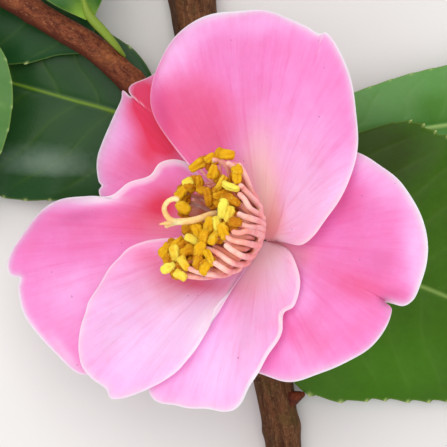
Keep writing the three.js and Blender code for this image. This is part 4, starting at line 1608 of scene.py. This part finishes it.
@dataclass(frozen=True)
class Leaf:
    """A leaf: a blade spread to both sides of a bent midrib, on a petiole.

    Attributes:
        name: its CAD node.
        midrib, petiole: points from the base to the tip, and from the stem to the base.
        left, right: half widths at even stations, to both sides of the way it points.
        rise_left, rise_right: how far the margins stand above the midrib.
        seed: pattern of the unevenness.
        tooth, pitch: depth and spacing of the teeth.
        rib: width of the midrib at its base.
        rows: grid rows along the blade.
        tint, blots: how much lighter green there is everywhere, and patches with more or less of it, some of
            them painted sheen or painted shade.
        stalk: radii of the petiole, to where it ends in the midrib.
    """

    name: str
    midrib: tuple[Vec, ...]
    petiole: tuple[Vec, ...]
    left: tuple[float, ...]
    right: tuple[float, ...]
    rise_left: float
    rise_right: float
    seed: int
    tooth: float = 0.4
    pitch: float = 4.4
    rib: float = 0.8
    rows: int = 220
    tint: float = 0.5
    blots: tuple[Blot, ...] = ()
    stalk: tuple[float, ...] = (1.15, 1.15, 1.1, 0.8, 0.4)

    def shape(self) -> Shape:
        """Blade and petiole together.

        A blade point lies beside the midrib at its share of the half width. The margin carries teeth that
        lean towards the tip. The surface sinks along the midrib and the side veins, which leave the midrib
        slanting forward and fade before the margin. Both sides arch, and the margin is gently waved.

        Returns:
            One mesh with the marks midrib, vein, rim, tooth, face and tint.
        """
        rib = Spline(self.midrib)
        s = np.linspace(0.0, 1.0, self.rows)[:, None]
        across = np.linspace(-1.0, 1.0, BLADE_COLUMNS)[None, :]
        t = 1.0 - (1.0 - np.abs(across)) ** COLUMN_CROWDING
        sign, left = np.sign(across), across > 0.0
        along = rib.along(s[:, 0])
        side = unit(np.cross([0.0, 0.0, 1.0], along))
        half = np.maximum(np.where(left, profile(self.left, s), profile(self.right, s)), NARROWEST)
        run = s * rib.length
        phase = (run / self.pitch + SECOND_SIDE_OFFSET * left) % 1.0
        fade = smoothstep(s, *TEETH_START) * smoothstep(s, *TEETH_END)
        teeth = phase**TOOTH_CURVE - smoothstep(phase, *TOOTH_BACK)
        reach = t * half + self.tooth * fade * teeth * t**20
        slant = run - SIDE_VEIN_SLANT * t * half - SIDE_VEIN_CURVE * t**3 * half
        order = slant / SIDE_VEIN_STEP + 0.5 * left + 0.12 * ripple(s * 3.0, sign * t, self.seed)
        off = np.abs(order - np.round(order)) * SIDE_VEIN_STEP
        deep = bump(off, SIDE_VEIN_WIDTH) * smoothstep(t, 0.98, 0.75) * smoothstep(s, 0.02, 0.1)
        wide = bump(off, SIDE_VEIN_TROUGH) * smoothstep(t, 1.0, 0.6)
        rib_half = self.rib * (0.62 - 0.42 * s)
        spine = bump(reach, rib_half, 4.0)
        hill = np.sin(math.pi * s)
        height = np.where(left, self.rise_left, self.rise_right) * t**2 * hill
        height = height + ARCH * np.sin(math.pi * t) * hill**0.7
        height = height + MARGIN_WAVE * t**2 * ripple(s * 5.0, 0.3 * sign, self.seed + 2) * hill
        height = height - SIDE_VEIN_DEPTH * deep - SIDE_VEIN_TROUGH_DEPTH * wide + MIDRIB_RISE * spine
        height = height - MIDRIB_TROUGH_DEPTH * bump(reach, MIDRIB_TROUGH * rib_half)
        grid = rib.at(s[:, 0])[:, None] + side[:, None] * (sign * reach)[..., None]
        grid = grid + np.cross(along, side)[:, None] * height[..., None]
        near = half * (1.0 - t)
        thickness = rib.length / LENGTH_TO_THICKNESS * (0.45 + 0.35 * smoothstep(near, 0.0, 1.2))
        thickness = thickness + 0.5 * spine * (1.0 - 0.6 * s)
        tip = bump(phase - 0.82, 0.07) * bump(near, 0.35) * (fade > 0.5)
        blade = slab(grid, thickness, np.stack(np.broadcast_arrays(0.5 + 0.5 * sign * t, s), -1), {
            "midrib": spine * (0.95 - 0.25 * s), "vein": np.maximum(deep, 0.35 * wide), "rim": near,
            "tooth": tip * min(1.0, self.tooth * 3.0),
            "tint": self.tint + amount(self.blots, Tone.PALE, grid)})
        path = Spline([*self.petiole, rib.at(0.02), rib.at(0.1)])
        stalk = tube(path, lambda q, a: profile(self.stalk, q), 40, 20, (False, True))
        return joined([blade, stalk.marked(midrib=0.75, vein=0.0, rim=5.0, tooth=0.0, tint=0.6, face=1.0)])


LEAVES = (
    Leaf("leaf_left",
         ((-10.5, 18.6, 6.6), (-22.1, 22.3, 6.6), (-32.4, 25.2, 6.2), (-42.1, 28, 5.4), (-58, 31, 3.4),
          (-75, 31.5, 0.9)),
         ((-3.4, 15.9, 5), (-6.6, 17, 5.6)),
         (1, 16.8, 20.2, 22.4, 20.5, 14.5, 6.5, 0.3), (1, 11.6, 15, 15.8, 14, 9.8, 4, 0.3), -1.6, 0.6, 91,
         tooth=0.22, rib=0.75, rows=300, tint=-0.12,
         # The pale patch is a painted sheen band; the negative patch below it is painted shade.
         blots=patches(pale=((-33, 11, 8, 3, 0.85, -4), (-28, 6.6, 16, 1.8, -0.5, -3)))),
    Leaf("leaf_behind_twig",
         ((-25.5, 34.2, 9.4), (-31, 39, 9), (-40, 43.8, 8.3), (-52, 49, 6.6), (-68, 54, 3.2)),
         ((-21, 30.6, 10.2), (-22.5, 31.8, 9.8)),
         (1, 8.5, 12.6, 12.4, 9.2, 4.4, 0.3), (1, 6.5, 9.6, 9.8, 7.6, 3.6, 0.3), -0.6, -0.6, 92),
    Leaf("leaf_bright",
         ((-25.6, 39.4, 17.2), (-27.3, 44, 18), (-31, 54, 17.6), (-36, 65, 15), (-42, 76, 11)),
         ((-19.2, 32.5, 13), (-20.7, 34.3, 15.2), (-23, 36.9, 16.6)),
         (0.9, 6.4, 8.8, 9.4, 8, 5.4, 2.8, 0.3), (0.9, 6.4, 8.8, 9.2, 8, 5.4, 2.8, 0.3), 1, 1, 93, tint=-0.1,
         blots=patches(pale=((-25.4, 37.4, 2.6, 3.2, 0.9, 30),)), stalk=(0.3, 0.6, 0.8, 0.9, 0.8, 0.3)),
    Leaf("leaf_edge",
         ((-51.5, 42, 19.2), (-52, 35, 19.8), (-52, 24, 18.8), (-52, 11, 15.5), (-51, -2, 11)),
         ((-50.3, 47.4, 16.8), (-50.8, 45, 18)),
         (0.9, 9, 11.7, 11.2, 8.6, 4, 0.3), (0.9, 7.5, 10.5, 10.5, 8, 4, 0.3), 1, 1, 94, tooth=0.12),
    Leaf("leaf_right",
         ((6.9, 11, 7.8), (13, 4.6, 8.2), (21.1, -2.4, 8), (31, -8.8, 7.6), (42, -13.6, 6.6), (56, -19.5, 5),
          (73, -29, 2.8), (88, -39, 0.9)),
         ((3.4, 13.4, 6.6), (4.2, 13, 6.8)),
         (1.2, 24.6, 28.5, 28.7, 26, 19, 10, 0.4), (1.2, 8, 27.7, 24, 18.9, 13, 7, 0.4), 1.6, -2.6, 95,
         tooth=0.9, pitch=4.0, rib=1.1, rows=360, tint=0.45,
         # The negative upper patch is painted shadow from the petals over the leaf; the lower patch is
         # lighter green.
         blots=patches(pale=((29, -25, 12, 7, 0.35), (28, 11.5, 10, 8, -0.6)))),
    Leaf("leaf_right_rear",
         ((6.5, 20.6, 3.6), (20, 17.6, 3.8), (40, 19, 3.6), (61, 22.5, 2.6), (79, 24, 0.9)),
         ((2.6, 21.8, 3.6), (4.4, 21.2, 3.6)),
         (1, 6, 9.6, 11.6, 11.2, 6.6, 0.3), (1, 7, 11, 12.5, 10.6, 6, 0.3), 0.4, -0.8, 96,
         tooth=0.15, rib=1.0, rows=260, blots=patches(pale=((40, 20, 6, 3.5, -0.7, -20),))),
)
LEAF_FINISHES = {
    # leaf_left's grey lighter green is the colour of its painted sheen.
    "leaf_left": LeafFinish("20451e", "6f8472", "6f9020", gloss=0.3, shine=0.12),
    "leaf_behind_twig": LeafFinish("113817", "235024", shine=0.1),
    "leaf_bright": LeafFinish("26540f", "86a834", "7a8c30"),
    "leaf_edge": LeafFinish("2e6024", "5a8240", "9fbf6a"),
    "leaf_right": LeafFinish("2c4404", "447814", "86a552", shine=0.1, veined=0.06),
    "leaf_right_rear": LeafFinish("467c28", "6ca05c", "9fbf6a", veined=0.04),
}
DARK_LEAVES = ("leaf_left", "leaf_behind_twig", "leaf_right")


@dataclass
class Sprig:
    """Builds the whole sprig piece by piece."""

    placer: Placer

    def wood(self) -> None:
        """Stem, twig, bud, stalk and scales."""
        add = self.placer.add
        stem = Limb(STEM_PATH, STEM_RADII, rings=((0.8, 0.35), (0.15, 0.2)), seed=71)
        add("main_stem_bark", stem.shape(square_start=FOOT_WARD), BarkFinish().material("stem_bark"),
            ["main_stem"], "bark")
        # The twig's last number puts strong painted shade on its side turned away from the light.
        red = BarkFinish("4c1c0c", "7a3e22", "c08a5c", "9c5e30", 2.5, 0.4, 0.25, 0.3, 0.1, 0.95)
        twig = Limb(TWIG_PATH, TWIG_RADII, 0.02, ((0.32, 0.25), (0.62, 0.2)), 73, 220, 72)
        add("flowering_twig_bark", twig.shape(), red.material("twig_bark"), ["flowering_twig"], "twig_bark")
        rust = BarkFinish("3c160a", "6e3014", "8e5026", "5c2a10", 1.5, 0.4, 0.3, 0.2, 0.1)
        bud = Limb(BUD_PATH, BUD_RADII, seed=75, steps=50, sides=36)
        add("axillary_bud_scales", bud.shape((False, True)), rust.material("bud_rust"), ["axillary_bud"],
            "twig_bark")
        green = SoftFinish("8fa05a", "66793a", "", 900.0, 0.1, 0.55, 0.05).material("stalk_green")
        stalk = Limb(STALK_PATH, STALK_RADII, 0.03, ((0.3, 0.3), (0.5, 0.35)), 77, 120, 60)
        add("bloom_stalk_skin", stalk.shape(), green, ["bloom_stalk"], "green_scale")
        for scale in map(sepal, range(5)):
            add(f"{scale.name}_scale", scale.shape(), green, [scale.name], "green_scale")

    def leaves(self) -> None:
        """The six leaves."""
        for leaf in LEAVES:
            material = LEAF_FINISHES[leaf.name].material(f"{leaf.name}_green")
            slot = "leaf_dark" if leaf.name in DARK_LEAVES else "leaf_light"
            self.placer.add(f"{leaf.name}_blade", leaf.shape(), material, [leaf.name], slot)

    def bloom(self) -> None:
        """Petals, stamens and pistil."""
        add = self.placer.add
        satin = PetalFinish().material("petal_pink")
        for petal in PETALS:
            add(f"{petal.name}_blade", petal.shape(), satin, [petal.name], "petal")
        cup = StamenCup()
        stamens = Stamens(cup)
        pink = SoftFinish("fcc8ba", "f2a696", "c8662e", 900.0, 0.08, 0.5, 0.4).material("filament_pink")
        cream = SoftFinish("f8dca0", "ecbc74", "", 1400.0, 0.08, 0.45, 0.3).material("style_cream")
        add("stamen_cup", stamens.wall(), pink, ["stamens"], "stamen")
        add("filaments", stamens.filaments(), pink, [], "stamen")
        add("anthers", stamens.anthers(), PollenFinish().material("anther_gold"), [], "stamen")
        add("pistil_style", pistil(cup), cream, ["pistil"], "style")


@dataclass(frozen=True)
class Lamp:
    """A square soft light that faces the bloom: place and size in metres, power in watts, and colour."""

    name: str
    place: Vec
    size: float
    power: float
    colour: Colour


LAMPS = each(
    Lamp,
    ("key", (-0.06, 0.12, 0.52), 0.45, 1.6, (1.0, 0.98, 0.96)),
    ("fill", (-0.05, -0.34, 0.34), 0.35, 0.4, (0.98, 0.99, 1.0)),
)
LAMP_AIM: Vec = (0.0, 0.0, 0.03)
FLOOR_TONES = ("dcdad6", "e2e0dc")
FLOOR_HALF = 1.5
SKY_COLOUR = (0.95, 0.97, 1.0, 1.0)
SKY_STRENGTH = 0.75


@dataclass
class Studio:
    """Floor, light and camera."""

    placer: Placer

    def build(self) -> None:
        """Makes the pale floor, the sky, the soft lights and the camera."""
        scene = bpy.context.scene
        scene.view_settings.view_transform = "Standard"
        self.floor()
        scene.world = bpy.data.worlds.new("sky")
        scene.world.use_nodes = True
        sky = scene.world.node_tree.nodes["Background"].inputs
        sky["Color"].default_value = SKY_COLOUR
        sky["Strength"].default_value = SKY_STRENGTH
        for lamp in LAMPS:
            self.light(lamp)
        data = bpy.data.cameras.new("camera")
        data.lens = CAMERA_LENS
        data.sensor_width = SENSOR_WIDTH
        data.clip_start = 0.01
        scene.camera = placed("camera", data)
        scene.camera.location = self.placer.to_row(np.array([0.0, 0.0, CAMERA_HEIGHT]))

    @staticmethod
    def floor() -> None:
        """A wide square at height zero, with a faint grain."""
        tree = ShaderTree("floor_pale")
        tree.finish(tree.coats(FLOOR_TONES[0], (tree.noise(tree.place(), 40.0, 4.0), FLOOR_TONES[1])), 0.8)
        mesh = bpy.data.meshes.new("floor")
        h = FLOOR_HALF
        mesh.from_pydata([(-h, -h, 0), (h, -h, 0), (h, h, 0), (-h, h, 0)], [], [(0, 1, 2, 3)])
        mesh.materials.append(tree.material)
        floor = placed("floor", mesh)

    @staticmethod
    def light(lamp: Lamp) -> None:
        """Sets a lamp up and turns it towards the bloom.

        Args:
            lamp: what it is like.
        """
        data = bpy.data.lights.new(lamp.name, "AREA")
        data.size = lamp.size
        data.energy = lamp.power
        data.color = lamp.colour
        thing = placed(lamp.name, data)
        thing.location = lamp.place
        aim = np.array(LAMP_AIM) - np.array(lamp.place)
        lean = math.acos(-aim[2] / float(np.linalg.norm(aim)))
        thing.rotation_euler = (lean, 0.0, math.atan2(aim[0], -aim[1]) + math.pi)


def main() -> None:
    """Clears the default scene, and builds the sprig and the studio."""
    logging.basicConfig(level=logging.INFO, format="%(message)s")
    for name in ("Cube", "Light", "Camera"):
        if name in bpy.data.objects:
            bpy.data.objects.remove(bpy.data.objects[name])
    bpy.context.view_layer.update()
    placer = Placer(STEM_PATH[0])
    Studio(placer).build()
    sprig = Sprig(placer)
    sprig.wood()
    sprig.leaves()
    sprig.bloom()


if __name__ == "__main__":
    main()
